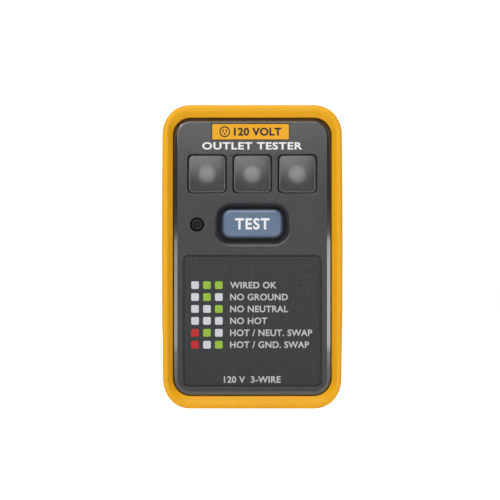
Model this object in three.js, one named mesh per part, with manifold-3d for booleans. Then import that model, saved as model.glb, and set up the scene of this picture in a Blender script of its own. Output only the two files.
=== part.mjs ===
// Plug-in outlet tester. A two-piece case in a soft bumper carries three indicator lamps
// behind smoked windows, a sprung test button, and a three-prong plug on its back.
//
// Units are millimetres. The pieces are laid out in the face frame: x to the right of the
// face, y up it, and z from the plug face (z = 0) to the user. The outer group turns that
// into the part's own frame: +X right, +Z up, +Y out of the plug, with the origin on the
// plug face midway between the two flat blades.

import * as THREE from 'three';
import { mergeVertices } from 'three/addons/utils/BufferGeometryUtils.js';
import Module from 'manifold-3d';

const wasm = await Module();
wasm.setup();

// ---------------------------------------------------------------- driving dimensions

// Fineness of round work: steps on a rounded corner, and sides of large and small rounds.
const CORNER_STEPS = 4;
const ROUND_SIDES = 20;
const SMALL_SIDES = 12;
const LEAD_SIDES = 6;

// Fits: between turned or sliding pieces, and between flat faces.
const FIT = 0.3;
const FLAT_FIT = 0.15;
const THROUGH = 1;

// Three-prong plug, 15 A pattern.
const BLADE_SPACING = 12.7;
const BLADE_THICKNESS = 1.52;
const HOT_WIDTH = 6.35;
const NEUTRAL_WIDTH = 7.94;
const BLADE_LENGTH = 18.2;
const BLADE_HOLE_DIAMETER = 4;
const BLADE_HOLE_FROM_FACE = 11.7;
const GROUND_BELOW_BLADES = 11.9;
const GROUND_DIAMETER = 4.75;
const GROUND_LENGTH = 21.4;
const BLADE_Y = GROUND_BELOW_BLADES / 2;
const GROUND_Y = -GROUND_BELOW_BLADES / 2;

// Bumper, the outermost piece.
const BUMPER = { halfWidth: 21.65, halfHeight: 36.4, radius: 6.95, bow: 0.3, back: 4.5, front: 36 };
const BUMPER_EDGE = 1.3;
const RIM_SLOPE = 1.2;
const RIM_SLOPE_DEPTH = 1.75;
const BUMPER_LIP = { halfWidth: 17.45, halfHeight: 32.2, radius: 3, front: 6.2 };
const GRIP = { grooves: 5, pitch: 4.2, length: 34, width: 1.7, depth: 0.6, centre: 20, y: -2 };

// Case, split at a parting line into the front cover and the rear housing.
const CASE = { halfWidth: 18.85, halfHeight: 33.2, radius: 4.1, back: 6.35, face: 34.4 };
const PARTING = 17.2;
const COVER_WALL = 1.8;
const COVER_FACE = 2;
const COVER_CHAMFER = 0.9;
const COVER_CHAMFER_DEPTH = 0.35;
const CEILING = CASE.face - COVER_FACE;
const HOUSING_WALL = 2.2;
const TONGUE = 0.8;
const TONGUE_HEIGHT = 1.4;
const NOSE = { halfWidth: 15, halfHeight: 20, radius: 5, floor: 2.5 };

// The top of the face leans back from this height upwards.
const BROW_Y = 24.9;
const BROW_SLOPE = THREE.MathUtils.degToRad(4.1);

// Fasteners: where they stand, their heads and shanks, and the posts they bite into.
const CASE_SCREW = { x: 13.9, y: 28.6, head: 2.5, shank: 1.1, post: 2.7, boss: 3.7, shelf: 9, end: 26 };
const BOARD_SCREW = { x: 13.6, y: -3, head: 2.2, shank: 1, post: 2.5, end: 27 };
const CLAMP_SCREW = { places: [13, -14], head: 2.3, shank: 1, boss: 2.7, bossHeight: 1.8, end: 1.2 };
const SCREW_HEAD_HEIGHT = 1.7;
const SCREW_POINT = 1.2;
const CROSS = { halfWidth: 0.3, reach: 0.5, depth: 0.7 };
const PILOT_FIT = 0.25;

// Indicator lamps and their windows.
const LAMP_PITCH = 10.85;
const LAMP_Y = 19.87;
const WINDOW = { halfWidth: 4.325, halfHeight: 4.4, radius: 1, front: 34.1 };
const WINDOW_OPENING = { halfWidth: 4.675, halfHeight: 4.675, radius: 1.2 };
const WINDOW_FLANGE = { halfWidth: 5.3, halfHeight: 5.35, radius: 0.8, back: 31.5, thickness: 0.8 };
const BAFFLE = { halfWidth: 16.5, halfHeight: 5.6, radius: 1, front: 31.2 };
const WELL = { halfWidth: 4.6, halfHeight: 4.6, radius: 1.9, taper: 1.2, floor: 0.4 };
const LAMP = { radius: 2.5, flange: 2.9, flangeHeight: 1, tip: 31.2, leadSpacing: 2.54 };

// Circuit board.
const BOARD = { halfWidth: 16.6, halfHeight: 30.75, radius: 2, back: 20.9, front: 22.5 };
const BOARD_TAIL = 23.2;
const LEAD_WIDTH = 0.6;
const LEAD_END = 22.9;

// Test button, its pocket in the face, and the switch under it.
const BUTTON_Y = 8;
const POCKET = { halfWidth: 9, halfHeight: 5.1, radius: 3.9, floor: 32.9, slope: 1 };
const POCKET_BOSS = { halfWidth: 10.5, halfHeight: 6.2, radius: 4.3, back: 31.2 };
const BUTTON = { halfWidth: 7.1, halfHeight: 3.35, radius: 1.9, top: 35, edge: 0.45 };
const BUTTON_FLANGE = { grow: 1.2, back: 30, front: 31 };
const STEM = { radius: 1.6, end: 28.3 };
const SWITCH = { half: 3.8, top: 26.4, bore: 1.95, boreFloor: 23.2, pin: 3 };
const PLUNGER = { radius: 1.7, back: 25.2, front: 28.1 };
const SPRING = { radius: 2.8, wire: 0.2, turns: 3, back: 26.5, front: 29.8, stepsPerTurn: 14 };

// Printed legend, name plate and the small round port.
const LEGEND = { halfWidth: 16.42, halfHeight: 15.55, radius: 1.1, y: -15.4, thickness: 0.28 };
const PLATE = { halfWidth: 9.2, halfHeight: 1.85, radius: 0.3, x: -0.4, y: 30.03, thickness: 0.35 };
const PORT = { x: -13.23, y: 7.72, radius: 1.675 };
const PORT_PLUG = { radius: 1.2, sunk: 0.7, dimple: 0.4, flange: 2.3, flangeThickness: 1 };

// Axial components on the back of the board. A part lies along x, or along y when upright.
const AXIALS = [
  { name: 'test_resistor', x: 0, y: -13.5, upright: false, radius: 1.95, length: 11, span: 16 },
  { name: 'dropper_resistor_1', x: -13.8, y: 7.5, upright: true, radius: 1.2, length: 6.4, span: 10 },
  { name: 'dropper_resistor_2', x: -10.4, y: 7.5, upright: true, radius: 1.2, length: 6.4, span: 10 },
  { name: 'dropper_resistor_3', x: 12.4, y: 7.5, upright: true, radius: 1.2, length: 6.4, span: 10 },
  { name: 'diode_1', x: -8, y: -22, upright: true, radius: 1.3, length: 4.8, span: 8.6 },
  { name: 'diode_2', x: 0, y: -22, upright: true, radius: 1.3, length: 4.8, span: 8.6 },
  { name: 'diode_3', x: 8, y: -22, upright: true, radius: 1.3, length: 4.8, span: 8.6 },
];
const VARISTOR = { x: 0, y: 27.8, radius: 3.9, thickness: 3.2, z: 15.8, leadSpacing: 5 };

// ---------------------------------------------------------------- materials

function finish(color, roughness, metalness = 0) {
  return { color, roughness, metalness };
}

const FINISH = {
  bumper: finish(0xeaad2b, 0.55),
  cover: finish(0x4b4a4c, 0.6),
  housing: finish(0x3c3b3e, 0.6),
  window: finish(0x3a3b3e, 0.15),
  baffle: finish(0x24252a, 0.6),
  lamp: finish(0xd8d8d4, 0.2),
  board: finish(0x1f6b3a, 0.5),
  brass: finish(0xc9a54e, 0.3, 1),
  plated: finish(0xc4c5c6, 0.28, 1),
  steel: finish(0x9b9da0, 0.35, 1),
  clamp: finish(0x2b2b2e, 0.6),
  button: finish(0x697f9b, 0.5),
  switchBody: finish(0x202124, 0.5),
  plunger: finish(0xd9d6cc, 0.5),
  legend: finish(0x494a4c, 0.55),
  plate: finish(0xeaab28, 0.5),
  port: finish(0x2a2a2c, 0.6),
  resistor: finish(0x7d9bb8, 0.5),
  diode: finish(0x18181a, 0.4),
  varistor: finish(0x2f63a8, 0.5),
};

// ---------------------------------------------------------------- solids

// A closed three.js geometry as a solid that can be cut and joined.
function solid(geometry) {
  geometry.deleteAttribute('normal');
  geometry.deleteAttribute('uv');
  const merged = mergeVertices(geometry);
  return new wasm.Manifold(new wasm.Mesh({
    numProp: 3,
    vertProperties: new Float32Array(merged.attributes.position.array),
    triVerts: new Uint32Array(merged.index.array),
  }));
}

function geometryOf(body) {
  const mesh = body.getMesh();
  const geometry = new THREE.BufferGeometry();
  geometry.setAttribute('position', new THREE.BufferAttribute(mesh.vertProperties, 3));
  geometry.setIndex(new THREE.BufferAttribute(mesh.triVerts, 1));
  const flat = geometry.toNonIndexed();
  flat.computeVertexNormals();
  return flat;
}

function joined(bodies) {
  return bodies.reduce((sum, body) => sum.add(body));
}

function cut(body, cutters) {
  return cutters.reduce((rest, cutter) => rest.subtract(cutter), body);
}

// Rounded rectangle about (x, y). Its long sides may bow outwards to the full half-width.
function roundedPlan({ halfWidth, halfHeight, radius, bow = 0 }, x = 0, y = 0) {
  const side = halfWidth - bow;
  const cornerX = side - radius;
  const cornerY = halfHeight - radius;
  const quarter = Math.PI / 2;
  const shape = new THREE.Shape();
  shape.absarc(x + cornerX, y - cornerY, radius, -quarter, 0);
  if (bow > 0) {
    shape.quadraticCurveTo(x + halfWidth + bow, y, x + side, y + cornerY);
  }
  shape.absarc(x + cornerX, y + cornerY, radius, 0, quarter);
  shape.absarc(x - cornerX, y + cornerY, radius, quarter, 2 * quarter);
  if (bow > 0) {
    shape.quadraticCurveTo(x - halfWidth - bow, y, x - side, y - cornerY);
  }
  shape.absarc(x - cornerX, y - cornerY, radius, 2 * quarter, 3 * quarter);
  return shape;
}

// The same plan grown outwards all round, or shrunk by a negative amount.
function grown(plan, amount) {
  return {
    ...plan,
    halfWidth: plan.halfWidth + amount,
    halfHeight: plan.halfHeight + amount,
    radius: plan.radius + amount,
  };
}

// A plan extruded from back to front, with both edges eased inwards by a bevel.
function slab(shape, back, front, bevel = 0, bevelDepth = bevel, bevelSteps = 1) {
  const geometry = new THREE.ExtrudeGeometry(shape, {
    depth: front - back - 2 * bevelDepth,
    bevelEnabled: bevel > 0,
    bevelSize: bevel,
    bevelThickness: bevelDepth,
    bevelOffset: -bevel,
    bevelSegments: bevelSteps,
    curveSegments: CORNER_STEPS,
  });
  geometry.translate(0, 0, back + bevelDepth);
  return solid(geometry);
}

// A cutter that widens to the plan at the surface, with sloping walls below it.
function flare(shape, floor, surface, slope) {
  const depth = surface - floor;
  return slab(shape, floor, surface + depth + THROUGH, slope, depth);
}

function block(x0, x1, y0, y1, z0, z1) {
  const geometry = new THREE.BoxGeometry(x1 - x0, y1 - y0, z1 - z0);
  geometry.translate((x0 + x1) / 2, (y0 + y1) / 2, (z0 + z1) / 2);
  return solid(geometry);
}

function rod(x, y, radius, back, front, sides = SMALL_SIDES) {
  const geometry = new THREE.CylinderGeometry(radius, radius, front - back, sides);
  geometry.rotateX(Math.PI / 2);
  geometry.translate(x, y, (back + front) / 2);
  return solid(geometry);
}

// A turned piece: [radius, z] points up the outside, from the axis back to the axis.
function turned(profile, x = 0, y = 0, sides = ROUND_SIDES) {
  const points = profile.map(([radius, z]) => new THREE.Vector2(radius, z));
  const geometry = new THREE.LatheGeometry(points, sides);
  geometry.rotateX(Math.PI / 2);
  geometry.translate(x, y, 0);
  return solid(geometry);
}

// Points of a dome from its widest to its tip, or from tip to widest when it faces back.
function dome(radius, rim, tip, steps) {
  const points = [];
  for (let step = 0; step <= steps; step += 1) {
    const angle = (step / steps) * (Math.PI / 2);
    const reach = step === steps ? 0 : radius * Math.cos(angle);
    points.push([reach, rim + (tip - rim) * Math.sin(angle)]);
  }
  return tip < rim ? points.reverse() : points;
}

function mirroredPairs(x, y) {
  return [[-x, y], [x, y], [-x, -y], [x, -y]];
}

function lampCentres() {
  return [-1, 0, 1].map((index) => index * LAMP_PITCH);
}

// ---------------------------------------------------------------- bumper

function bumper() {
  const outside = slab(roundedPlan(BUMPER), BUMPER.back, BUMPER.front, BUMPER_EDGE, BUMPER_EDGE, 3);
  const opening = grown(CASE, FLAT_FIT);
  const rimFoot = BUMPER.front - RIM_SLOPE_DEPTH;
  const cutters = [
    slab(roundedPlan(opening), BUMPER_LIP.front, BUMPER.front + THROUGH),
    slab(roundedPlan(BUMPER_LIP), BUMPER.back - THROUGH, BUMPER_LIP.front + THROUGH),
    flare(roundedPlan(grown(opening, RIM_SLOPE)), rimFoot, BUMPER.front, RIM_SLOPE),
  ];
  return cut(outside, cutters.concat(gripGrooves()));
}

// Finger grooves that run up both sides of the bumper.
function gripGrooves() {
  const groovePlan = {
    halfWidth: GRIP.length / 2,
    halfHeight: GRIP.width / 2,
    radius: GRIP.width * 0.49,
  };
  const sideways = new THREE.Matrix4().makeBasis(
    new THREE.Vector3(0, 1, 0),
    new THREE.Vector3(0, 0, 1),
    new THREE.Vector3(1, 0, 0),
  );
  const grooves = [];
  for (let index = 0; index < GRIP.grooves; index += 1) {
    const z = GRIP.centre + (index - (GRIP.grooves - 1) / 2) * GRIP.pitch;
    for (const side of [-1, 1]) {
      const geometry = new THREE.ExtrudeGeometry(roundedPlan(groovePlan), {
        depth: 2 * GRIP.depth,
        bevelEnabled: false,
        curveSegments: CORNER_STEPS,
      });
      geometry.translate(0, 0, -GRIP.depth);
      geometry.applyMatrix4(sideways);
      geometry.translate(side * BUMPER.halfWidth, GRIP.y, z);
      grooves.push(solid(geometry));
    }
  }
  return grooves;
}

// ---------------------------------------------------------------- case

function frontCover() {
  const back = PARTING + FIT;
  const shape = roundedPlan(CASE);
  const depth = COVER_CHAMFER_DEPTH;
  const outside = slab(shape, back - depth - THROUGH, CASE.face, COVER_CHAMFER, depth);
  const behind = block(-30, 30, -40, 40, 0, back);
  const cavity = slab(roundedPlan(grown(CASE, -COVER_WALL)), back - THROUGH, CEILING);
  const hull = cut(outside, [behind, cavity, brow(0)]);
  const pocketBoss = slab(roundedPlan(POCKET_BOSS, 0, BUTTON_Y), POCKET_BOSS.back, CEILING + THROUGH / 2);
  return cut(joined([hull, pocketBoss, ...coverPosts()]), coverOpenings());
}

// Everything in front of the leaning top of the face, lowered into it by a depth.
function brow(depth) {
  const geometry = new THREE.BoxGeometry(60, 30, 10);
  geometry.translate(0, 15, 5 - depth);
  geometry.rotateX(-BROW_SLOPE);
  geometry.translate(0, BROW_Y, CASE.face);
  return solid(geometry);
}

function coverPosts() {
  const posts = mirroredPairs(CASE_SCREW.x, CASE_SCREW.y).map(([x, y]) => {
    return rod(x, y, CASE_SCREW.post, PARTING + FIT, CEILING + THROUGH / 2, SMALL_SIDES);
  });
  for (const side of [-1, 1]) {
    const x = side * BOARD_SCREW.x;
    posts.push(rod(x, BOARD_SCREW.y, BOARD_SCREW.post, BOARD.front + FLAT_FIT, CEILING + THROUGH / 2));
  }
  return posts;
}

function coverOpenings() {
  const beyond = CASE.face + THROUGH;
  const pocketMouth = roundedPlan(POCKET, 0, BUTTON_Y);
  const buttonHole = roundedPlan(grown(BUTTON, FIT), 0, BUTTON_Y);
  const legendFloor = CASE.face - LEGEND.thickness - FLAT_FIT;
  const openings = [
    flare(pocketMouth, POCKET.floor, CASE.face, POCKET.slope),
    slab(buttonHole, POCKET_BOSS.back - THROUGH, beyond),
    slab(roundedPlan(grown(LEGEND, FLAT_FIT), 0, LEGEND.y), legendFloor, beyond),
    rod(PORT.x, PORT.y, PORT.radius, CEILING - THROUGH, beyond, ROUND_SIDES),
    plateRecess(),
  ];
  for (const x of lampCentres()) {
    openings.push(slab(roundedPlan(WINDOW_OPENING, x, LAMP_Y), CEILING - THROUGH, beyond));
  }
  for (const [x, y] of mirroredPairs(CASE_SCREW.x, CASE_SCREW.y)) {
    openings.push(rod(x, y, CASE_SCREW.shank + PILOT_FIT, PARTING, CASE_SCREW.end + THROUGH));
  }
  for (const side of [-1, 1]) {
    const pilot = BOARD_SCREW.shank + PILOT_FIT;
    openings.push(rod(side * BOARD_SCREW.x, BOARD_SCREW.y, pilot, BOARD.front, BOARD_SCREW.end + THROUGH));
  }
  return openings;
}

function plateRecess() {
  const shape = roundedPlan(grown(PLATE, FLAT_FIT), PLATE.x, PLATE.y - BROW_Y);
  const geometry = new THREE.ExtrudeGeometry(shape, {
    depth: PLATE.thickness + THROUGH,
    bevelEnabled: false,
    curveSegments: CORNER_STEPS,
  });
  geometry.translate(0, 0, -PLATE.thickness);
  geometry.rotateX(-BROW_SLOPE);
  geometry.translate(0, BROW_Y, CASE.face);
  return solid(geometry);
}

// A blanking plug behind the round port, with a dimple in its end.
function portPlug() {
  const flangeFront = CEILING - FIT;
  const flangeBack = flangeFront - PORT_PLUG.flangeThickness;
  const end = CASE.face - PORT_PLUG.sunk;
  return turned([
    [0, flangeBack],
    [PORT_PLUG.flange, flangeBack],
    [PORT_PLUG.flange, flangeFront],
    [PORT_PLUG.radius, flangeFront],
    [PORT_PLUG.radius, end],
    [PORT_PLUG.radius * 0.6, end],
    [0, end - PORT_PLUG.dimple],
  ]);
}

function rearHousing() {
  const floor = CASE.back + HOUSING_WALL;
  const inside = grown(CASE, -HOUSING_WALL);
  const outside = joined([
    slab(roundedPlan(CASE), CASE.back, PARTING),
    slab(roundedPlan(NOSE), 0, floor + THROUGH, 0.7, 0.7, 2),
  ]);
  const hull = cut(outside, [
    slab(roundedPlan(inside), floor, PARTING + THROUGH),
    slab(roundedPlan(grown(NOSE, -HOUSING_WALL)), NOSE.floor, floor + THROUGH),
  ]);
  return cut(joined([hull, locatingTongue(), ...housingBosses()]), housingOpenings());
}

// A rim that stands up inside the cover's wall and lines the two halves up.
function locatingTongue() {
  const outer = grown(CASE, -COVER_WALL - FIT);
  const inner = grown(outer, -TONGUE);
  const ring = slab(roundedPlan(outer), PARTING - THROUGH / 2, PARTING + TONGUE_HEIGHT).subtract(
    slab(roundedPlan(inner), PARTING - THROUGH, PARTING + TONGUE_HEIGHT + THROUGH),
  );
  const posts = mirroredPairs(CASE_SCREW.x, CASE_SCREW.y).map(([x, y]) => {
    return rod(x, y, CASE_SCREW.post + 2 * FIT, PARTING, PARTING + TONGUE_HEIGHT + THROUGH);
  });
  return cut(ring, posts);
}

function housingBosses() {
  const bosses = mirroredPairs(CASE_SCREW.x, CASE_SCREW.y).map(([x, y]) => {
    return rod(x, y, CASE_SCREW.boss, CASE.back + THROUGH, PARTING, ROUND_SIDES);
  });
  const bossTop = NOSE.floor + CLAMP_SCREW.bossHeight;
  for (const y of CLAMP_SCREW.places) {
    bosses.push(rod(0, y, CLAMP_SCREW.boss, NOSE.floor - THROUGH, bossTop));
  }
  return bosses;
}

function housingOpenings() {
  const openings = [
    bladeSlot(BLADE_SPACING / 2, HOT_WIDTH),
    bladeSlot(-BLADE_SPACING / 2, NEUTRAL_WIDTH),
    rod(0, GROUND_Y, GROUND_DIAMETER / 2 + FIT, -THROUGH, NOSE.floor + THROUGH, ROUND_SIDES),
  ];
  for (const [x, y] of mirroredPairs(CASE_SCREW.x, CASE_SCREW.y)) {
    openings.push(rod(x, y, CASE_SCREW.head + FIT, CASE.back - THROUGH, CASE_SCREW.shelf, ROUND_SIDES));
    openings.push(rod(x, y, CASE_SCREW.shank + FIT, CASE.back, PARTING + THROUGH));
  }
  const pilotTop = NOSE.floor + CLAMP_SCREW.bossHeight + THROUGH;
  for (const y of CLAMP_SCREW.places) {
    openings.push(rod(0, y, CLAMP_SCREW.shank + PILOT_FIT, CLAMP_SCREW.end - FIT, pilotTop));
  }
  return openings;
}

function bladeSlot(x, width) {
  const halfThickness = BLADE_THICKNESS / 2 + FIT / 2;
  const halfWidth = width / 2 + FIT / 2;
  return block(
    x - halfThickness, x + halfThickness,
    BLADE_Y - halfWidth, BLADE_Y + halfWidth,
    -THROUGH, NOSE.floor + THROUGH / 4,
  );
}

// ---------------------------------------------------------------- plug

const SHOULDER_BACK = NOSE.floor + FIT;
const SHOULDER_FRONT = SHOULDER_BACK + 1.5;
const SHOULDER_REACH = 1.6;
const TAIL_HALF_WIDTH = 1.2;
const GROUND_TAIL = 1.1;
const TIP_CUT = { width: 1.3, length: 1.8 };
const GROUND_DOME = 2.1;

// A stamped blade in the plane of y and z: tip, shoulders that stop it in the nose, tail.
function blade(width) {
  const half = width / 2;
  const shoulder = half + SHOULDER_REACH;
  const tail = TAIL_HALF_WIDTH;
  const right = [
    [half - TIP_CUT.width, -BLADE_LENGTH],
    [half, TIP_CUT.length - BLADE_LENGTH],
    [half, SHOULDER_BACK],
    [shoulder, SHOULDER_BACK],
    [shoulder, SHOULDER_FRONT],
    [tail, SHOULDER_FRONT],
    [tail, BOARD_TAIL],
  ];
  const left = right.map(([y, z]) => [-y, z]).reverse();
  const shape = new THREE.Shape(right.concat(left).map(([y, z]) => new THREE.Vector2(y, z)));
  const hole = new THREE.Path();
  hole.absarc(0, -BLADE_HOLE_FROM_FACE, BLADE_HOLE_DIAMETER / 2, 0, 2 * Math.PI, true);
  shape.holes.push(hole);
  const edge = 0.2;
  const geometry = new THREE.ExtrudeGeometry(shape, {
    depth: BLADE_THICKNESS - 2 * edge,
    bevelSize: edge,
    bevelThickness: edge,
    bevelOffset: -edge,
    bevelSegments: 1,
    curveSegments: SMALL_SIDES / 2,
  });
  geometry.translate(0, 0, edge - BLADE_THICKNESS / 2);
  geometry.applyMatrix4(new THREE.Matrix4().makeBasis(
    new THREE.Vector3(0, 1, 0),
    new THREE.Vector3(0, 0, 1),
    new THREE.Vector3(1, 0, 0),
  ));
  return solid(geometry);
}

function groundPin() {
  const radius = GROUND_DIAMETER / 2;
  return turned([
    ...dome(radius, GROUND_DOME - GROUND_LENGTH, -GROUND_LENGTH, 5),
    [radius, SHOULDER_BACK],
    [radius + SHOULDER_REACH, SHOULDER_BACK],
    [radius + SHOULDER_REACH, SHOULDER_FRONT],
    [GROUND_TAIL, SHOULDER_FRONT],
    [GROUND_TAIL, BOARD_TAIL],
    [0, BOARD_TAIL],
  ]);
}

const CLAMP = { halfWidth: 12.3, halfHeight: 17.2, radius: 2.2, back: SHOULDER_FRONT + FIT, thickness: 2.6 };
const CLAMP_FRONT = CLAMP.back + CLAMP.thickness;
const CLAMP_RIB = { x: 10.4, halfWidth: 0.6, halfLength: 14, height: 1.4 };

// The plate that holds the blades' shoulders down on the floor of the nose.
function bladeClamp() {
  const plate = slab(roundedPlan(CLAMP), CLAMP.back, CLAMP_FRONT, 0.3);
  const { halfWidth, halfLength, height } = CLAMP_RIB;
  const ribs = [-1, 1].map((side) => {
    const x = side * CLAMP_RIB.x;
    const low = CLAMP_FRONT - CLAMP.thickness / 2;
    return block(x - halfWidth, x + halfWidth, -halfLength, halfLength, low, CLAMP_FRONT + height);
  });
  const back = CLAMP.back - THROUGH;
  const front = CLAMP_FRONT + THROUGH;
  const tailX = BLADE_THICKNESS / 2 + FIT;
  const tailY = TAIL_HALF_WIDTH + FIT;
  const holes = [-1, 1].map((side) => {
    const x = (side * BLADE_SPACING) / 2;
    return block(x - tailX, x + tailX, BLADE_Y - tailY, BLADE_Y + tailY, back, front);
  });
  holes.push(rod(0, GROUND_Y, GROUND_TAIL + FIT, back, front));
  for (const y of CLAMP_SCREW.places) {
    holes.push(rod(0, y, CLAMP_SCREW.shank + FIT, back, front));
  }
  return cut(joined([plate, ...ribs]), holes);
}

// ---------------------------------------------------------------- screws

// Pan-head screw on its own axis, pointing up z, with a cross recess in the head.
function screw({ head, shank }, length) {
  const body = turned([
    [0, -SCREW_HEAD_HEIGHT],
    [head * 0.72, -SCREW_HEAD_HEIGHT],
    [head, -SCREW_HEAD_HEIGHT * 0.55],
    [head, 0],
    [shank, 0],
    [shank, length - SCREW_POINT],
    [shank / 4, length],
    [0, length],
  ], 0, 0, SMALL_SIDES);
  const wide = head * CROSS.reach;
  const thin = CROSS.halfWidth;
  const floor = CROSS.depth - SCREW_HEAD_HEIGHT;
  return cut(body, [
    block(-wide, wide, -thin, thin, floor - THROUGH, floor),
    block(-thin, thin, -wide, wide, floor - THROUGH, floor),
  ]);
}

// ---------------------------------------------------------------- lamps and windows

function lampWindow() {
  const flangeFront = WINDOW_FLANGE.back + WINDOW_FLANGE.thickness;
  return joined([
    slab(roundedPlan(WINDOW), flangeFront - 0.4, WINDOW.front, 0.3, 0.3, 2),
    slab(roundedPlan(WINDOW_FLANGE), WINDOW_FLANGE.back, flangeFront),
  ]);
}

// A block with a tapered well round each lamp, so that no lamp lights another's window.
function lampBaffle() {
  const back = BOARD.front + FLAT_FIT;
  const body = slab(roundedPlan(BAFFLE, 0, LAMP_Y), back, BAFFLE.front);
  const throat = grown(WELL, -WELL.taper);
  return cut(body, lampCentres().map((x) => {
    const mouth = flare(roundedPlan(WELL, x, LAMP_Y), back + WELL.floor, BAFFLE.front, WELL.taper);
    return mouth.add(slab(roundedPlan(throat, x, LAMP_Y), back - THROUGH, back + THROUGH));
  }));
}

function lamp() {
  const base = BOARD.front + 2 * FLAT_FIT;
  const body = turned([
    [0, base],
    [LAMP.flange, base],
    [LAMP.flange, base + LAMP.flangeHeight],
    [LAMP.radius, base + LAMP.flangeHeight],
    ...dome(LAMP.radius, LAMP.tip - LAMP.radius, LAMP.tip, 5),
  ]);
  const half = LEAD_WIDTH / 2;
  const leads = [-1, 1].map((side) => {
    const x = (side * LAMP.leadSpacing) / 2;
    return block(x - half, x + half, -half, half, BOARD.back - 0.9, base + 0.3);
  });
  return joined([body, ...leads]);
}

// ---------------------------------------------------------------- board and components

const BOARD_HOLE = LEAD_WIDTH / 2 + FIT;

function circuitBoard() {
  const board = slab(roundedPlan(BOARD), BOARD.back, BOARD.front);
  const back = BOARD.back - THROUGH;
  const front = BOARD.front + THROUGH;
  const tailHole = Math.hypot(TAIL_HALF_WIDTH, BLADE_THICKNESS / 2) + FIT;
  const holes = [];
  for (const [x, y] of mirroredPairs(CASE_SCREW.x, CASE_SCREW.y)) {
    holes.push(rod(x, y, CASE_SCREW.post + FIT, back, front, ROUND_SIDES));
  }
  for (const side of [-1, 1]) {
    holes.push(rod(side * BOARD_SCREW.x, BOARD_SCREW.y, BOARD_SCREW.shank + FIT, back, front));
    holes.push(rod((side * BLADE_SPACING) / 2, BLADE_Y, tailHole, back, front));
  }
  holes.push(rod(0, GROUND_Y, GROUND_TAIL + FIT, back, front));
  for (const [x, y] of leadPlaces()) {
    holes.push(rod(x, y, BOARD_HOLE, back, front, LEAD_SIDES));
  }
  return cut(board, holes);
}

// Where every wire lead goes through the board.
function leadPlaces() {
  const places = [];
  for (const side of [-1, 1]) {
    for (const x of lampCentres()) {
      places.push([x + (side * LAMP.leadSpacing) / 2, LAMP_Y]);
    }
    for (const part of AXIALS) {
      const reach = (side * part.span) / 2;
      places.push(part.upright ? [part.x, part.y + reach] : [part.x + reach, part.y]);
    }
    places.push([VARISTOR.x + (side * VARISTOR.leadSpacing) / 2, VARISTOR.y]);
    for (const end of [-1, 1]) {
      places.push([side * SWITCH.pin, BUTTON_Y + end * SWITCH.pin]);
    }
  }
  return places;
}

// A resistor or diode along x under the board, with its leads bent up through it.
function axialPart({ radius, length, span }) {
  const half = length / 2;
  const waist = radius * 0.88;
  const z = BOARD.back - radius - 0.5;
  const profile = [[0, -half], [radius * 0.8, -half], [radius, -half + 0.4], [radius, -half * 0.62]];
  profile.push([waist, -half * 0.5], [waist, half * 0.5]);
  profile.push([radius, half * 0.62], [radius, half - 0.4], [radius * 0.8, half], [0, half]);
  const points = profile.map(([reach, along]) => new THREE.Vector2(reach, along));
  const geometry = new THREE.LatheGeometry(points, SMALL_SIDES);
  geometry.rotateZ(-Math.PI / 2);
  geometry.translate(0, 0, z);
  const wire = LEAD_WIDTH / 2;
  const pieces = [solid(geometry)];
  for (const side of [-1, 1]) {
    const bend = (side * span) / 2;
    const inner = side * (half - 0.3);
    const ends = [Math.min(inner, bend - wire), Math.max(inner, bend + wire)];
    pieces.push(block(ends[0], ends[1], -wire, wire, z - wire, z + wire));
    pieces.push(block(bend - wire, bend + wire, -wire, wire, z - wire, LEAD_END));
  }
  return joined(pieces);
}

// A disc that stands on edge under the board.
function varistor() {
  const { radius, thickness } = VARISTOR;
  const geometry = new THREE.CylinderGeometry(radius, radius, thickness, ROUND_SIDES);
  geometry.translate(0, 0, VARISTOR.z);
  const pieces = [solid(geometry)];
  const wire = LEAD_WIDTH / 2;
  for (const side of [-1, 1]) {
    const x = (side * VARISTOR.leadSpacing) / 2;
    pieces.push(block(x - wire, x + wire, -wire, wire, VARISTOR.z + 1, LEAD_END));
  }
  return joined(pieces);
}

// ---------------------------------------------------------------- button and switch

function testButton() {
  return joined([
    slab(roundedPlan(BUTTON), BUTTON_FLANGE.back + 0.2, BUTTON.top, BUTTON.edge, BUTTON.edge, 3),
    slab(roundedPlan(grown(BUTTON, BUTTON_FLANGE.grow)), BUTTON_FLANGE.back, BUTTON_FLANGE.front),
    rod(0, 0, STEM.radius, STEM.end, BUTTON_FLANGE.back + 0.4),
  ]);
}

function switchBody() {
  const back = BOARD.front + FLAT_FIT;
  const plan = { halfWidth: SWITCH.half, halfHeight: SWITCH.half, radius: 0.4 };
  const pin = LEAD_WIDTH / 2;
  const pins = mirroredPairs(SWITCH.pin, SWITCH.pin).map(([x, y]) => {
    return block(x - pin, x + pin, y - pin, y + pin, BOARD.back - 0.7, back + 0.5);
  });
  const body = joined([slab(roundedPlan(plan), back, SWITCH.top), ...pins]);
  return body.subtract(rod(0, 0, SWITCH.bore, SWITCH.boreFloor, SWITCH.top + THROUGH, ROUND_SIDES));
}

function switchPlunger() {
  return turned([
    [0, PLUNGER.back],
    [PLUNGER.radius, PLUNGER.back],
    [PLUNGER.radius, PLUNGER.front - 0.3],
    [PLUNGER.radius - 0.3, PLUNGER.front],
    [0, PLUNGER.front],
  ], 0, 0, SMALL_SIDES);
}

// The wire's centre line: a helix from the switch up to the button's flange.
class Helix extends THREE.Curve {
  getPoint(t, target = new THREE.Vector3()) {
    const angle = 2 * Math.PI * SPRING.turns * t;
    const rise = SPRING.front - SPRING.back - 2 * SPRING.wire;
    return target.set(
      SPRING.radius * Math.cos(angle),
      SPRING.radius * Math.sin(angle),
      SPRING.back + SPRING.wire + rise * t,
    );
  }
}

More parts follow.
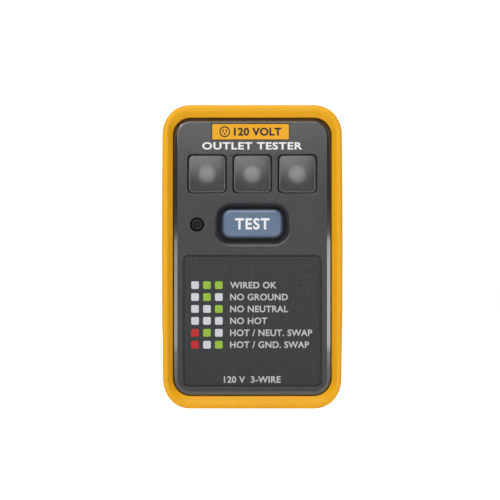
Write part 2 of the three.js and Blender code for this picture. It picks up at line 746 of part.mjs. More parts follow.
function buttonSpring() {
  const wire = new THREE.Shape();
  wire.absarc(0, 0, SPRING.wire, 0, 2 * Math.PI);
  return solid(new THREE.ExtrudeGeometry(wire, {
    steps: SPRING.turns * SPRING.stepsPerTurn,
    curveSegments: LEAD_SIDES / 2,
    extrudePath: new Helix(),
  }));
}

// ---------------------------------------------------------------- assembly

function node(name, body, look, x = 0, y = 0, z = 0) {
  const mesh = new THREE.Mesh(geometryOf(body), new THREE.MeshStandardMaterial(look));
  mesh.name = name;
  mesh.position.set(x, y, z);
  return mesh;
}

function caseGroup() {
  const group = new THREE.Group();
  group.add(node('bumper', bumper(), FINISH.bumper));
  group.add(node('front_cover', frontCover(), FINISH.cover));
  group.add(node('rear_housing', rearHousing(), FINISH.housing));
  const shank = CASE_SCREW.end - CASE_SCREW.shelf;
  mirroredPairs(CASE_SCREW.x, CASE_SCREW.y).forEach(([x, y], index) => {
    const name = `housing_screw_${index + 1}`;
    group.add(node(name, screw(CASE_SCREW, shank), FINISH.steel, x, y, CASE_SCREW.shelf - FLAT_FIT));
  });
  group.add(node('port_plug', portPlug(), FINISH.port, PORT.x, PORT.y));
  const legend = slab(roundedPlan(LEGEND), CASE.face - LEGEND.thickness, CASE.face);
  group.add(node('legend_label', legend, FINISH.legend, 0, LEGEND.y));
  group.add(namePlate());
  return group;
}

// The plate lies in its recess on the leaning top of the face.
function namePlate() {
  const brow = new THREE.Group();
  brow.position.set(0, BROW_Y, CASE.face);
  brow.rotation.x = -BROW_SLOPE;
  const body = slab(roundedPlan(PLATE), FLAT_FIT - PLATE.thickness, FLAT_FIT);
  brow.add(node('name_plate', body, FINISH.plate, PLATE.x, PLATE.y - BROW_Y));
  return brow;
}

function plugGroup() {
  const group = new THREE.Group();
  const half = BLADE_SPACING / 2;
  group.add(node('hot_blade', blade(HOT_WIDTH), FINISH.brass, half, BLADE_Y));
  group.add(node('neutral_blade', blade(NEUTRAL_WIDTH), FINISH.plated, -half, BLADE_Y));
  group.add(node('ground_pin', groundPin(), FINISH.brass, 0, GROUND_Y));
  group.add(node('blade_clamp', bladeClamp(), FINISH.clamp));
  const seat = CLAMP_FRONT + FLAT_FIT;
  CLAMP_SCREW.places.forEach((y, index) => {
    const fastener = screw(CLAMP_SCREW, seat - CLAMP_SCREW.end);
    const mesh = node(`clamp_screw_${index + 1}`, fastener, FINISH.steel, 0, y, seat);
    mesh.rotation.x = Math.PI;
    group.add(mesh);
  });
  return group;
}

function boardGroup() {
  const group = new THREE.Group();
  group.add(node('circuit_board', circuitBoard(), FINISH.board));
  const seat = BOARD.back - FLAT_FIT;
  [-1, 1].forEach((side, index) => {
    const fastener = screw(BOARD_SCREW, BOARD_SCREW.end - seat);
    const x = side * BOARD_SCREW.x;
    group.add(node(`board_screw_${index + 1}`, fastener, FINISH.steel, x, BOARD_SCREW.y, seat));
  });
  for (const part of AXIALS) {
    const look = part.name.startsWith('diode') ? FINISH.diode : FINISH.resistor;
    const mesh = node(part.name, axialPart(part), look, part.x, part.y);
    mesh.rotation.z = part.upright ? Math.PI / 2 : 0;
    group.add(mesh);
  }
  group.add(node('varistor', varistor(), FINISH.varistor, VARISTOR.x, VARISTOR.y));
  group.add(node('lamp_baffle', lampBaffle(), FINISH.baffle));
  const places = ['left', 'centre', 'right'];
  lampCentres().forEach((x, index) => {
    group.add(node(`led_${places[index]}`, lamp(), FINISH.lamp, x, LAMP_Y));
    group.add(node(`window_${places[index]}`, lampWindow(), FINISH.window, x, LAMP_Y));
  });
  return group;
}

function buttonGroup() {
  const group = new THREE.Group();
  group.position.y = BUTTON_Y;
  group.add(node('test_button', testButton(), FINISH.button));
  group.add(node('switch_body', switchBody(), FINISH.switchBody));
  group.add(node('switch_plunger', switchPlunger(), FINISH.plunger));
  group.add(node('button_spring', buttonSpring(), FINISH.steel));
  return group;
}

// The face frame's z runs back along the part's y. Its origin is raised so that the part's
// own origin falls midway between the blades.
const body = new THREE.Group();
body.position.y = -BLADE_Y;
body.add(caseGroup(), plugGroup(), boardGroup(), buttonGroup());

const tester = new THREE.Group();
tester.rotation.x = Math.PI / 2;
tester.add(body);

export default tester;
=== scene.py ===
import math

import bmesh
import bpy
from bpy.props import FloatProperty, FloatVectorProperty, PointerProperty
from bpy.types import Operator, Panel, PropertyGroup
from mathutils import Matrix, Vector


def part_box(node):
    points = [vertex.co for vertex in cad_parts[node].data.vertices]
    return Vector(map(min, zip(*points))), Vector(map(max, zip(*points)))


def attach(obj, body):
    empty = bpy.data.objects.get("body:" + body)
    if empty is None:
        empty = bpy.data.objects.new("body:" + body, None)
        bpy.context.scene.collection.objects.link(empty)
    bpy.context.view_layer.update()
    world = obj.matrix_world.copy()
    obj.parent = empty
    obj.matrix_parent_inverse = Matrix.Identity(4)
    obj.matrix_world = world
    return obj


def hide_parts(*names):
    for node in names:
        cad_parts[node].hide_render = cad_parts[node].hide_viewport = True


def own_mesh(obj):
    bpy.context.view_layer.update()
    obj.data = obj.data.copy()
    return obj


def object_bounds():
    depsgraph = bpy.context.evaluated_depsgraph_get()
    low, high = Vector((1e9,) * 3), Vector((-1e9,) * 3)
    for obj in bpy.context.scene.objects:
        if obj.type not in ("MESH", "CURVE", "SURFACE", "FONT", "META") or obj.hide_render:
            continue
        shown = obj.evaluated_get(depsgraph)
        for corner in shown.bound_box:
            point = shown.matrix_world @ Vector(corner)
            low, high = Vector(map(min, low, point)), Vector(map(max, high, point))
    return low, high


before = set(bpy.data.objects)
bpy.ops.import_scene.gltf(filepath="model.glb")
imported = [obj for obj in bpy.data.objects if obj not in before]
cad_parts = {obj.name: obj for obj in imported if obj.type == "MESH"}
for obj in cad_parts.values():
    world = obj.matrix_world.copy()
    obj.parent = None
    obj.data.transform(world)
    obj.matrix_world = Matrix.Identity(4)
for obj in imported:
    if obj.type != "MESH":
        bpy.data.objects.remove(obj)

bl_info = {
    "name": "Outlet tester",
    "version": (1, 0, 0),
    "blender": (4, 5, 0),
    "location": "View3D > Sidebar > Tester",
    "description": "Builds a plug-in outlet tester round its packed mechanical model",
    "category": "Object",
}

# The pieces are drawn in millimetres in the face frame: x to the right of the face, y up it
# from the line of the flat blades, and z from the plug face to the user. FACE_TO_ROW turns
# and scales that into the part's own frame, in metres.
MM = 0.001
FACE_TO_ROW = Matrix.Scale(MM, 4) @ Matrix.Rotation(math.pi / 2, 4, "X")
CAD_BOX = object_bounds()

CASE_BODY = "tester_body"
BUTTON_BODY = "button"
SIDES = ("left", "centre", "right")


def face_box(node):
    """Lowest and highest corner of a CAD node in the face frame, in millimetres."""
    low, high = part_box(node)
    return Vector((low.x, low.z, -high.y)) / MM, Vector((high.x, high.z, -low.y)) / MM


def centre_of(node):
    """The middle of a CAD node, seen from the user's side."""
    low, high = face_box(node)
    return (low.x + high.x) / 2, (low.y + high.y) / 2


class Plan:
    """A rounded rectangle, seen from the user's side."""

    def __init__(self, x, y, half_width, half_height, radius):
        self.x, self.y = x, y
        self.half_width, self.half_height = half_width, half_height
        self.radius = radius


def disc(x, y, radius):
    return Plan(x, y, radius, radius, radius)


def node_plan(node, radius, grow=0.0):
    """The rounded rectangle that a CAD node fills, with the node's back and front."""
    low, high = face_box(node)
    plan = Plan(*centre_of(node), (high.x - low.x) / 2 + grow, (high.y - low.y) / 2 + grow,
                radius + grow)
    plan.back, plan.front = low.z, high.z
    return plan


# ---------------- sizes and colours


def length(name, description, default_mm):
    """A size that the user can change, kept in metres."""
    return FloatProperty(
        name=name, description=description, default=default_mm * MM,
        min=0.0, precision=5, subtype="DISTANCE", unit="LENGTH",
    )


def colour(name, description, *levels):
    return FloatVectorProperty(
        name=name, description=description, subtype="COLOR", size=3,
        min=0.0, max=1.0, default=screen(*levels),
    )


def screen(*levels):
    """A colour given as it shows on a screen, turned into linear light."""
    shares = [level / 255 for level in levels]
    return tuple(s / 12.92 if s <= 0.04045 else ((s + 0.055) / 1.055) ** 2.4 for s in shares)


class TesterSizes(PropertyGroup):
    """Sizes that the mechanical model leaves to the finish."""

    rim_edge: length("Rim edge", "Rounding of the bumper's outer front edge", 1.15)
    rim_width: length("Rim width", "Bumper wall, from the outside to the cover", 2.65)
    rim_depth: length("Rim depth", "How far the rim's inner slope runs back", 1.75)
    side_bow: length("Side bow", "How far the bumper's sides draw in at their ends", 0.3)
    grip_depth: length("Grip depth", "Depth of the finger grooves", 0.55)
    chamfer: length("Chamfer", "Width of the glossy chamfer round the cover", 0.9)
    chamfer_depth: length("Chamfer depth", "How far the chamfer runs back", 0.32)
    brow_drop: length("Brow drop", "How far the top of the face leans back", 0.85)
    soft_edge: length("Soft edge", "Rounding of small moulded edges", 0.14)
    print_depth: length("Print depth", "Thickness of printed marks", 0.02)
    legend_mark: length("Legend mark", "Side of a printed colour square", 1.84)
    legend_text: length("Legend text", "Height of the legend's capitals", 1.6)
    button_text: length("Button text", "Height of the button's capitals", 2.8)


class TesterColours(PropertyGroup):
    """Colours of the finishes."""

    bumper: colour("Bumper", "Soft bumper", 238, 172, 17)
    cover: colour("Cover", "Textured front cover", 38, 37, 39)
    housing: colour("Housing", "Rear housing", 48, 48, 50)
    window: colour("Window", "Smoked windows", 27, 27, 27)
    button: colour("Button", "Test button", 81, 104, 130)
    legend: colour("Legend", "Printed legend panel", 38, 41, 44)
    plate: colour("Plate", "Name plate", 232, 168, 24)
    pale_print: colour("Pale print", "Pale lettering", 184, 186, 187)
    title_print: colour("Title print", "Title lettering", 226, 227, 228)
    dark_print: colour("Dark print", "Dark mark on the plate", 22, 22, 40)
    green_print: colour("Green print", "Green squares", 142, 181, 60)
    red_print: colour("Red print", "Red squares", 182, 40, 42)
    white_print: colour("White print", "White squares", 198, 202, 205)


# ---------------- modelling


def eased(points, steps=4):
    """A profile with soft corners. Each point is (inset, z) or (inset, z, rounding)."""
    result = []
    for index, point in enumerate(points):
        place = Vector(point[:2])
        rounding = point[2] if len(point) > 2 else 0.0
        if not rounding:
            result.append(place)
            continue
        before = (Vector(points[index - 1][:2]) - place).normalized() * rounding
        after = (Vector(points[(index + 1) % len(points)][:2]) - place).normalized() * rounding
        for step in range(steps + 1):
            share = step / steps
            result.append(place + before * (1 - share) ** 2 + after * share ** 2)
    return result


def picked(geometry, kind):
    return [item for item in geometry if isinstance(item, kind)]


def band(bm, plan, profile, closed=False, corner_steps=10, side_steps=1):
    """Carry a profile of (inset, z) points round a plan."""
    run_x = plan.half_width - plan.radius
    run_y = plan.half_height - plan.radius
    verts = [
        bm.verts.new((plan.x + run_x, plan.y - plan.half_height + inset, z))
        for inset, z in profile
    ]
    pairs = list(zip(verts, verts[1:]))
    if closed:
        pairs.append((verts[-1], verts[0]))
    geometry = verts + [bm.edges.new(pair) for pair in pairs]
    for right, up, run in (
        (run_x, -run_y, (0, 2 * run_y)), (run_x, run_y, (-2 * run_x, 0)),
        (-run_x, run_y, (0, -2 * run_y)), (-run_x, -run_y, (2 * run_x, 0)),
    ):
        turned = bmesh.ops.spin(
            bm, geom=geometry, cent=(plan.x + right, plan.y + up, 0),
            axis=(0, 0, 1), dvec=(0, 0, 0), angle=math.pi / 2, steps=corner_steps,
            use_merge=False, use_duplicate=False,
        )
        geometry = turned["geom_last"]
        if abs(run[0]) + abs(run[1]) < 1e-6:
            continue
        for _ in range(side_steps):
            edges = picked(geometry, bmesh.types.BMEdge)
            drawn = bmesh.ops.extrude_edge_only(bm, edges=edges)["geom"]
            verts = picked(drawn, bmesh.types.BMVert)
            move(bm, Vector((*run, 0)) / side_steps, verts)
            geometry = verts + ring_edges(verts)


def ring_edges(verts):
    """The edges that join vertices of one group to each other."""
    group = set(verts)
    return list({e for v in verts for e in v.link_edges if e.other_vert(v) in group})


def weld(bm, distance=0.0005):
    bmesh.ops.remove_doubles(bm, verts=bm.verts[:], dist=distance)


def open_edges(bm, z, tolerance=0.002):
    """Edges at a height that only one face uses, or none."""
    return [
        edge for edge in bm.edges
        if len(edge.link_faces) < 2 and all(abs(v.co.z - z) < tolerance for v in edge.verts)
    ]


def fill_level(bm, z, within=None):
    """Close the openings at a height. Loops that lie inside a loop stay holes in it."""
    edges = open_edges(bm, z)
    if within is not None:
        edges = [e for e in edges if all(inside(within, v.co) for v in e.verts)]
    bmesh.ops.triangle_fill(bm, edges=edges, use_beauty=True, use_dissolve=False)


def inside(plan, point):
    reach = 0.01
    return (
        abs(point.x - plan.x) <= plan.half_width + reach
        and abs(point.y - plan.y) <= plan.half_height + reach
    )


def cap(bm, z, plan):
    """Close one ring with one flat face."""
    edges = [e for e in open_edges(bm, z) if all(inside(plan, v.co) for v in e.verts)]
    bmesh.ops.edgeloop_fill(bm, edges=edges)


def slab(bm, plan, profile, corner_steps):
    """Carry a profile round a plan, and close it at both ends."""
    band(bm, plan, profile, corner_steps=corner_steps)
    weld(bm)
    for end in (profile[0], profile[-1]):
        cap(bm, end[1], plan)


def ink_mark(bm, plan, level, inner, corner_steps):
    """A closed mark as thick as the ink."""
    top = level + sizes().print_depth / MM
    slab(bm, plan, [(inner, level), (0.0, level), (0.0, top), (inner, top)], corner_steps)


def slice_through(bm, place, normal):
    """Cut every face on a plane, and keep both sides."""
    bmesh.ops.bisect_plane(
        bm, geom=bm.verts[:] + bm.edges[:] + bm.faces[:], dist=0.0001, plane_co=place,
        plane_no=normal,
    )


def lathe(bm, profile, x, y, steps=40):
    """Turn a profile of (radius, along) points about an axis through (x, y)."""
    first = len(bm.verts)
    verts = [bm.verts.new((radius, 0, along)) for radius, along in profile]
    edges = [bm.edges.new(pair) for pair in zip(verts, verts[1:])]
    bmesh.ops.spin(
        bm, geom=verts + edges, cent=(0, 0, 0), axis=(0, 0, 1), dvec=(0, 0, 0),
        angle=2 * math.pi, steps=steps, use_merge=True, use_duplicate=False,
    )
    bm.verts.ensure_lookup_table()
    move(bm, (x, y, 0), bm.verts[first:])


def hull_block(bm, x0, x1, y0, y1, z0, z1):
    """A box between two corners."""
    made = bmesh.ops.create_cube(bm, size=1.0)["verts"]
    bmesh.ops.scale(bm, verts=made, vec=(x1 - x0, y1 - y0, z1 - z0))
    move(bm, ((x0 + x1) / 2, (y0 + y1) / 2, (z0 + z1) / 2), made)


def thicken(bm, step):
    """Draw flat faces out along a step."""
    drawn = bmesh.ops.extrude_face_region(bm, geom=bm.faces[:])["geom"]
    move(bm, step, picked(drawn, bmesh.types.BMVert))


def added(name, data):
    """Put a mesh, a light or a camera into the scene as a named object at the origin."""
    item = bpy.data.objects.new(name, data)
    bpy.context.scene.collection.objects.link(item)
    return item


def linked(name, bm):
    """Put a bmesh into the scene."""
    mesh = bpy.data.meshes.new(name)
    bm.to_mesh(mesh)
    bm.free()
    return added(name, mesh)


def evaluated(item):
    """An object's shape as a new mesh, with its modifiers applied."""
    depsgraph = bpy.context.evaluated_depsgraph_get()
    return bpy.data.meshes.new_from_object(item.evaluated_get(depsgraph))


def move(bm, step, verts=None):
    """Move some vertices, or all of them."""
    bmesh.ops.translate(bm, verts=bm.verts[:] if verts is None else verts, vec=step)


def shade(mesh, angle=32):
    mesh.shade_smooth()
    mesh.set_sharp_from_angle(angle=math.radians(angle))


def finished(name, bm, materials, body=CASE_BODY, smooth=32):
    """Make a bmesh into a named object at the origin, riding on a body."""
    weld(bm)
    bmesh.ops.recalc_face_normals(bm, faces=bm.faces[:])
    bm.transform(FACE_TO_ROW)
    piece = linked(name, bm)
    for material in materials:
        piece.data.materials.append(material)
    shade(piece.data, smooth)
    modifier = piece.modifiers.new("Even shading", "WEIGHTED_NORMAL")
    modifier.keep_sharp = True
    modifier.weight = 80
    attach(piece, body)
    return piece


def carved(piece, cutter_bm):
    """Cut a bmesh's shape out of a finished piece."""
    cutter_bm.transform(FACE_TO_ROW)
    bmesh.ops.recalc_face_normals(cutter_bm, faces=cutter_bm.faces[:])
    cutter = linked(piece.name + "_cut", cutter_bm)
    piece.modifiers.clear()
    boolean = piece.modifiers.new("Recess", "BOOLEAN")
    boolean.operation = "DIFFERENCE"
    boolean.solver = "EXACT"
    boolean.object = cutter
    result = evaluated(piece)
    piece.modifiers.clear()
    old, piece.data = piece.data, result
    bpy.data.meshes.remove(old)
    bpy.data.objects.remove(cutter)
    shade(result)


def lettering(name, words, place, capital, material, body=CASE_BODY, align="LEFT",
              weight=0.022, tracking=1.06, width=None, bend=None):
    """Flat bold capitals as a thin mesh, placed by their left edge or their centre."""
    curve = bpy.data.curves.new(name, "FONT")
    curve.body = words
    curve.size = 1.0
    curve.resolution_u = 5
    curve.offset = weight
    curve.space_character = tracking
    curve.align_x = align
    draft = added(name + "_draft", curve)
    flat = evaluated(draft)
    bpy.data.objects.remove(draft)
    bpy.data.curves.remove(curve)
    bm = bmesh.new()
    bm.from_mesh(flat)
    bpy.data.meshes.remove(flat)
    low, high = (pick(v.co.y for v in bm.verts) for pick in (min, max))
    left, right = (pick(v.co.x for v in bm.verts) for pick in (min, max))
    scale = capital / (high - low)
    natural = (right - left) * scale
    stretch = (width or natural) / natural
    anchor = left if align == "LEFT" else (left + right) / 2
    move(bm, (-anchor, -(low + high) / 2, 0))
    bmesh.ops.scale(bm, verts=bm.verts[:], vec=(scale * stretch, scale, 1))
    weld(bm, 0.002)
    thicken(bm, (0, 0, sizes().print_depth / MM))
    move(bm, place)
    if bend:
        bend(bm)
    return finished(name, bm, [material], body=body)


def sizes():
    return bpy.context.scene.tester_sizes


def colours():
    return bpy.context.scene.tester_colours


# ---------------- shader nodes


def supply(tree, node, values):
    """Give each named input a value, or a link from a socket."""
    for key, value in values.items():
        if isinstance(value, bpy.types.NodeSocket):
            tree.links.new(value, node.inputs[key])
        else:
            node.inputs[key].default_value = value


def placed(tree, kind, values=None, **settings):
    """Add a node with its settings and its inputs. Returns its outputs."""
    node = tree.nodes.new("ShaderNode" + kind)
    for key, value in settings.items():
        setattr(node, key, value)
    supply(tree, node, values or {})
    return node.outputs


def sent(tree, kind, values=None, **settings):
    """The first output of a new node."""
    return placed(tree, kind, values, **settings)[0]


def own_place(tree):
    return placed(tree, "TexCoord")["Object"]


def new_group(name, entries, exits):
    """A node group from its inputs' default values and its outputs' kinds."""
    group = bpy.data.node_groups.new(name, "ShaderNodeTree")
    for key, value in entries.items():
        kind = "NodeSocketFloat" if isinstance(value, float) else "NodeSocketColor"
        made = group.interface.new_socket(name=key, in_out="INPUT", socket_type=kind)
        made.default_value = value
    for key, kind in exits.items():
        group.interface.new_socket(name=key, in_out="OUTPUT", socket_type="NodeSocket" + kind)
    return group, group.nodes.new("NodeGroupInput").outputs, group.nodes.new("NodeGroupOutput")


def grain_group():
    """Fine spark-eroded mould grain: a height for bump, and a roughness that wanders."""
    name = "Mould grain"
    if name in bpy.data.node_groups:
        return bpy.data.node_groups[name]
    group, entry, leave = new_group(
        name, {"Scale": 4000.0, "Roughness": 0.5, "Spread": 0.08},
        {"Height": "Float", "Roughness": "Float"},
    )
    place = own_place(group)
    fine = sent(group, "TexNoise", {"Vector": place, "Scale": entry["Scale"], "Detail": 3.0})
    broad = sent(group, "TexNoise", {"Vector": place, "Scale": 160.0})
    shift = sent(group, "Math", {0: broad, 1: 0.5}, operation="SUBTRACT")
    spread = sent(group, "Math", {0: shift, 1: entry["Spread"], 2: entry["Roughness"]},
                  operation="MULTIPLY_ADD")
    supply(group, leave, {"Height": fine, "Roughness": spread})
    return group


def drift_group():
    """A colour with a slow drift and a fine speckle, as pigmented plastic has."""
    name = "Pigment drift"
    if name in bpy.data.node_groups:
        return bpy.data.node_groups[name]
    group, entry, leave = new_group(
        name,
        {"Colour": (0.5, 0.5, 0.5, 1.0), "Drift": 0.05, "Speckle": 0.05, "Speckle Scale": 3500.0},
        {"Colour": "Color"},
    )
    place = own_place(group)
    slow = sent(group, "TexNoise", {"Vector": place, "Scale": 45.0})
    fine = sent(group, "TexNoise",
                {"Vector": place, "Scale": entry["Speckle Scale"], "Detail": 4.0})
    shares = {}
    for index, (noise, amount) in enumerate(((slow, "Drift"), (fine, "Speckle"))):
        centred = sent(group, "Math", {0: noise, 1: 0.5}, operation="SUBTRACT")
        shares[index] = sent(group, "Math", {0: centred, 1: entry[amount]}, operation="MULTIPLY")
    total = sent(group, "Math", shares, operation="ADD")
    value = sent(group, "Math", {0: total, 1: 1.0}, operation="ADD")
    tone = sent(group, "HueSaturation", {"Value": value, "Color": entry["Colour"]})
    supply(group, leave, {"Colour": tone})
    return group


# ---------------- materials


def once(build):
    """Find a material by its name, or build it the first time that it is asked for."""
    def found(name, *rest, **finish):
        return bpy.data.materials.get(name) or build(name, *rest, **finish)
    return found


def new_material(name):
    material = bpy.data.materials.new(name)
    material.use_nodes = True
    tree = material.node_tree
    return material, tree, tree.nodes["Principled BSDF"]


def pigment(tree, shader, tint, drift=0.05, speckle=0.05, speckle_scale=3500.0):
    tone = sent(tree, "Group", {
        "Colour": (*tint, 1.0), "Drift": drift, "Speckle": speckle,
        "Speckle Scale": speckle_scale,
    }, node_tree=drift_group())
    supply(tree, shader, {"Base Color": tone})
    return tone


def grain(tree, shader, roughness, scale=4000.0, depth=0.00002, strength=0.4, spread=0.08):
    noise = placed(tree, "Group", {"Scale": scale, "Roughness": roughness, "Spread": spread},
                   node_tree=grain_group())
    bump = sent(tree, "Bump", {"Strength": strength, "Distance": depth, "Height": noise["Height"]})
    supply(tree, shader, {"Roughness": noise["Roughness"], "Normal": bump})


def painted_light_fade(tree, tint, axis, ends, levels):
    """Paint light or shade onto a pigment: scale it along an axis, from one level to another
    between two places.
    """
    place = placed(tree, "SeparateXYZ", {"Vector": own_place(tree)})[axis]
    level = sent(tree, "MapRange", {
        "Value": place, "From Min": ends[0], "From Max": ends[1],
        "To Min": levels[0], "To Max": levels[1],
    }, interpolation_type="SMOOTHSTEP")
    return sent(tree, "VectorMath", {0: tint, "Scale": level}, operation="SCALE")


@once
def moulding(name, tint, roughness, **finish):
    """A pigmented moulding with grain. Extra names set the shader's own sockets."""
    material, tree, shader = new_material(name)
    pigment(tree, shader, tint, finish.pop("drift", 0.05), finish.pop("speckle", 0.06))
    grain(
        tree, shader, roughness,
        scale=finish.pop("scale", 4000.0),
        depth=finish.pop("depth", 0.00002),
        strength=finish.pop("strength", 0.4),
    )
    for key, value in finish.items():
        words = key.replace("_", " ").title().replace("Ior", "IOR")
        shader.inputs[words].default_value = value
    return material


@once
def metal(name, tint, roughness):
    """A bare or plated metal with fine drawn lines."""
    material, tree, shader = new_material(name)
    pigment(tree, shader, tint, drift=0.08, speckle_scale=2700.0)
    stretch = sent(tree, "Mapping", {"Vector": own_place(tree), "Scale": (1.0, 0.04, 1.0)})
    lines = sent(tree, "TexNoise", {"Vector": stretch, "Scale": 3600.0, "Detail": 3.0})
    level = sent(tree, "MapRange",
                 {"Value": lines, "To Min": roughness * 0.8, "To Max": roughness * 1.3})
    bump = sent(tree, "Bump", {"Height": lines, "Strength": 0.15, "Distance": 0.00001})
    supply(tree, shader, {"Roughness": level, "Normal": bump, "Metallic": 1.0})
    return material


def bumper_rubber():
    return moulding("Bumper rubber", colours().bumper, 0.5, drift=0.03, speckle=0.05,
                    scale=5200.0, depth=0.00001, strength=0.3, specular_ior_level=0.3,
                    subsurface_weight=0.12, subsurface_scale=0.0008)


def cover_plastic():
    return moulding("Cover plastic", colours().cover, 0.3, speckle=2.4, scale=2800.0,
                    depth=0.00007, strength=0.45, specular_ior_level=0.62)


def gloss_edge():
    return moulding("Polished cover edge", colours().cover, 0.07, speckle=0.05,
                    depth=0.000004, strength=0.15, specular_ior_level=1.0, coat_weight=1.0)


def black_plastic():
    return moulding("Black plastic", screen(38, 38, 40), 0.5, speckle=0.2)


@once
def smoked_plastic(name, middle):
    """See-through smoke grey, with a painted reflection that makes it lighter towards the top. A
    steady alpha lets the lamps show.
    """
    material, tree, shader = new_material(name)
    tint = pigment(tree, shader, colours().window, drift=0.03, speckle=0.0)
    # Painted reflection: the base colour is scaled up from the window's middle to its top, as if it
    # caught the light above.
    painted_top_reflection = painted_light_fade(tree, tint, "Z", ((middle - 3.6) * MM, (middle + 3.6) * MM), (1.0, 5.5))
    grain(tree, shader, 0.31, scale=1500.0, depth=0.000003, strength=0.15, spread=0.04)
    supply(tree, shader, {"Base Color": painted_top_reflection, "IOR": 1.66, "Alpha": 0.82})
    return material


def clear_plastic():
    """The inside of the window's block, which hardly shows behind its smoky front."""
    return moulding("Clear plastic", colours().window, 0.2, drift=0.03, speckle=0.0,
                    depth=0.000003, strength=0.1, alpha=0.03)


def window_rim_highlight():
    """The lens's polished rim, painted pale grey as a highlight along its edge."""
    # Painted highlight: the pale grey stands in for light caught along the lens's edge.
    return moulding("Window rim", screen(168, 169, 170), 0.25, drift=0.03,
                    speckle=0.02, depth=0.000003, strength=0.15, alpha=0.75)


@once
def epoxy_with_painted_glow(name, crown):
    """Milky resin with a painted glow and painted light and shade: palest at the dome's crown and
    darker down its sides.
    """
    material, tree, shader = new_material(name)
    tint = pigment(tree, shader, screen(214, 214, 212), speckle=0.02)
    # Painted highlight and shade: the colour is brightest at the crown and falls off down the
    # dome's sides.
    painted_crown_light = painted_light_fade(tree, tint, "Y", (-crown * MM, (1.9 - crown) * MM), (1.25, 0.14))
    grain(tree, shader, 0.22, depth=0.000004)
    # Painted glow: the unlit lamp's resin emits light along the same painted ramp.
    supply(tree, shader, {"Base Color": painted_crown_light, "Emission Color": painted_crown_light, "Emission Strength": 0.6})
    return material


def print_ink(name, tint):
    return moulding(name, tint, 0.45, drift=0.02, depth=0.000006, strength=0.3,
                    specular_ior_level=0.2)


def brass():
    return metal("Brass", screen(214, 178, 96), 0.3)


def zinc():
    return metal("Zinc plate", screen(176, 178, 182), 0.34)


@once
def board_laminate(name):
    """Green mask with paler copper runs under it."""
    material, tree, shader = new_material(name)
    turn = sent(tree, "Mapping", {"Vector": own_place(tree), "Rotation": (math.pi / 2, 0, 0)})
    runs = sent(tree, "TexBrick", {
        "Vector": turn, "Scale": 90.0, "Color1": (0.008, 0.045, 0.018, 1.0),
        "Color2": (0.01, 0.055, 0.022, 1.0), "Mortar": (0.02, 0.1, 0.045, 1.0),
    })
    supply(tree, shader, {"Base Color": runs})
    grain(tree, shader, 0.32, scale=1800.0, depth=0.00001, strength=0.2)
    return material


@once
def banded(name, axis, half_length):
    """A lacquered resistor with colour bands across its axis."""
    material, tree, shader = new_material(name)
    period = half_length * MM / 4
    place = placed(tree, "SeparateXYZ", {"Vector": own_place(tree)})[axis]
    wave = sent(tree, "Math", {0: place, 1: period}, operation="PINGPONG")
    share = sent(tree, "MapRange", {"Value": wave, "From Max": period})
    bands = tree.nodes.new("ShaderNodeValToRGB")
    bands.color_ramp.interpolation = "CONSTANT"
    lacquer, stripe = bands.color_ramp.elements
    lacquer.color = (0.32, 0.09, 0.03, 1.0)
    stripe.position = 0.28
    stripe.color = (0.2, 0.42, 0.55, 1.0)
    supply(tree, bands, {"Fac": share})
    supply(tree, shader, {"Base Color": bands.outputs["Color"]})
    grain(tree, shader, 0.35, scale=2500.0, depth=0.000008, strength=0.2)
    return material


# ---------------- pieces


BROW_LENGTH = 20.0
BROW_CUTS = 18
BROW_STEP = 1.12
LIP_REACH = 4.2
GRIP_PITCH = 4.2
GRIP_COUNT = 5
GRIP_WIDTH = 1.7
GRIP_SAMPLES = 7
GRIP_HALF_LENGTH = 17.0
GRIP_FADE = 2.5
GRIP_DROP = 2.0
SIDE_SHELL = 2.4
WAIST_RISE = 3.0


def bumper_plan():
    return node_plan("bumper", 6.95)


def case_plan():
    return node_plan("front_cover", 4.1)


def lean_back(bm, above=0.0):
    """Lean everything in front of a level back with the top of the face."""
    plan = case_plan()
    start = plan.y + plan.half_height - BROW_LENGTH
    drop = sizes().brow_drop / MM
    for vert in bm.verts:
        if vert.co.z > above and vert.co.y > start:
            vert.co.z -= drop * ((vert.co.y - start) / BROW_LENGTH) ** 2


class TESTER_OT_bumper(Operator):
    """Build the soft bumper, with its raised rim and finger grooves"""

    bl_idname = "tester.bumper"
    bl_label = "Bumper"

    def execute(self, context):
        size = sizes()
        plan = bumper_plan()
        rim = size.rim_width / MM
        edge = size.rim_edge / MM
        depth = size.rim_depth / MM
        grooves = groove_levels(plan)
        lip = plan.back + 1.8
        profile = eased([
            (LIP_REACH, plan.back, 0.4), (0.0, plan.back, 1.1), (0.0, grooves[0] - 0.4),
        ])
        profile += [(0.0, z) for z in grooves]
        profile += eased([
            (0.0, grooves[-1] + 0.4), (0.0, plan.front, edge), (edge + 0.1, plan.front, 0.5),
            (rim - 0.05, plan.front - depth, 0.3), (rim, plan.front - depth - 1.2),
            (rim, lip), (LIP_REACH, lip, 0.3), (LIP_REACH, plan.back + 0.4),
        ], steps=6)
        bm = bmesh.new()
        band(bm, plan, profile, closed=True, corner_steps=16, side_steps=40)
        weld(bm)
        fit_to_case(bm, plan, edge, rim)
        shape_sides(bm, plan)
        piece = finished("soft_bumper", bm, [bumper_rubber()], smooth=40)
        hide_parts("bumper")
        return {"FINISHED"}


def grip_centres(plan):
    middle = (plan.back + plan.front) / 2 - 0.25
    return [middle + (index - (GRIP_COUNT - 1) / 2) * GRIP_PITCH for index in range(GRIP_COUNT)]


def groove_levels(plan):
    """Heights on the wall that the grooves need: a few across each one."""
    shares = [sample / (GRIP_SAMPLES - 1) - 0.5 for sample in range(GRIP_SAMPLES)]
    return [centre + share * GRIP_WIDTH for centre in grip_centres(plan) for share in shares]


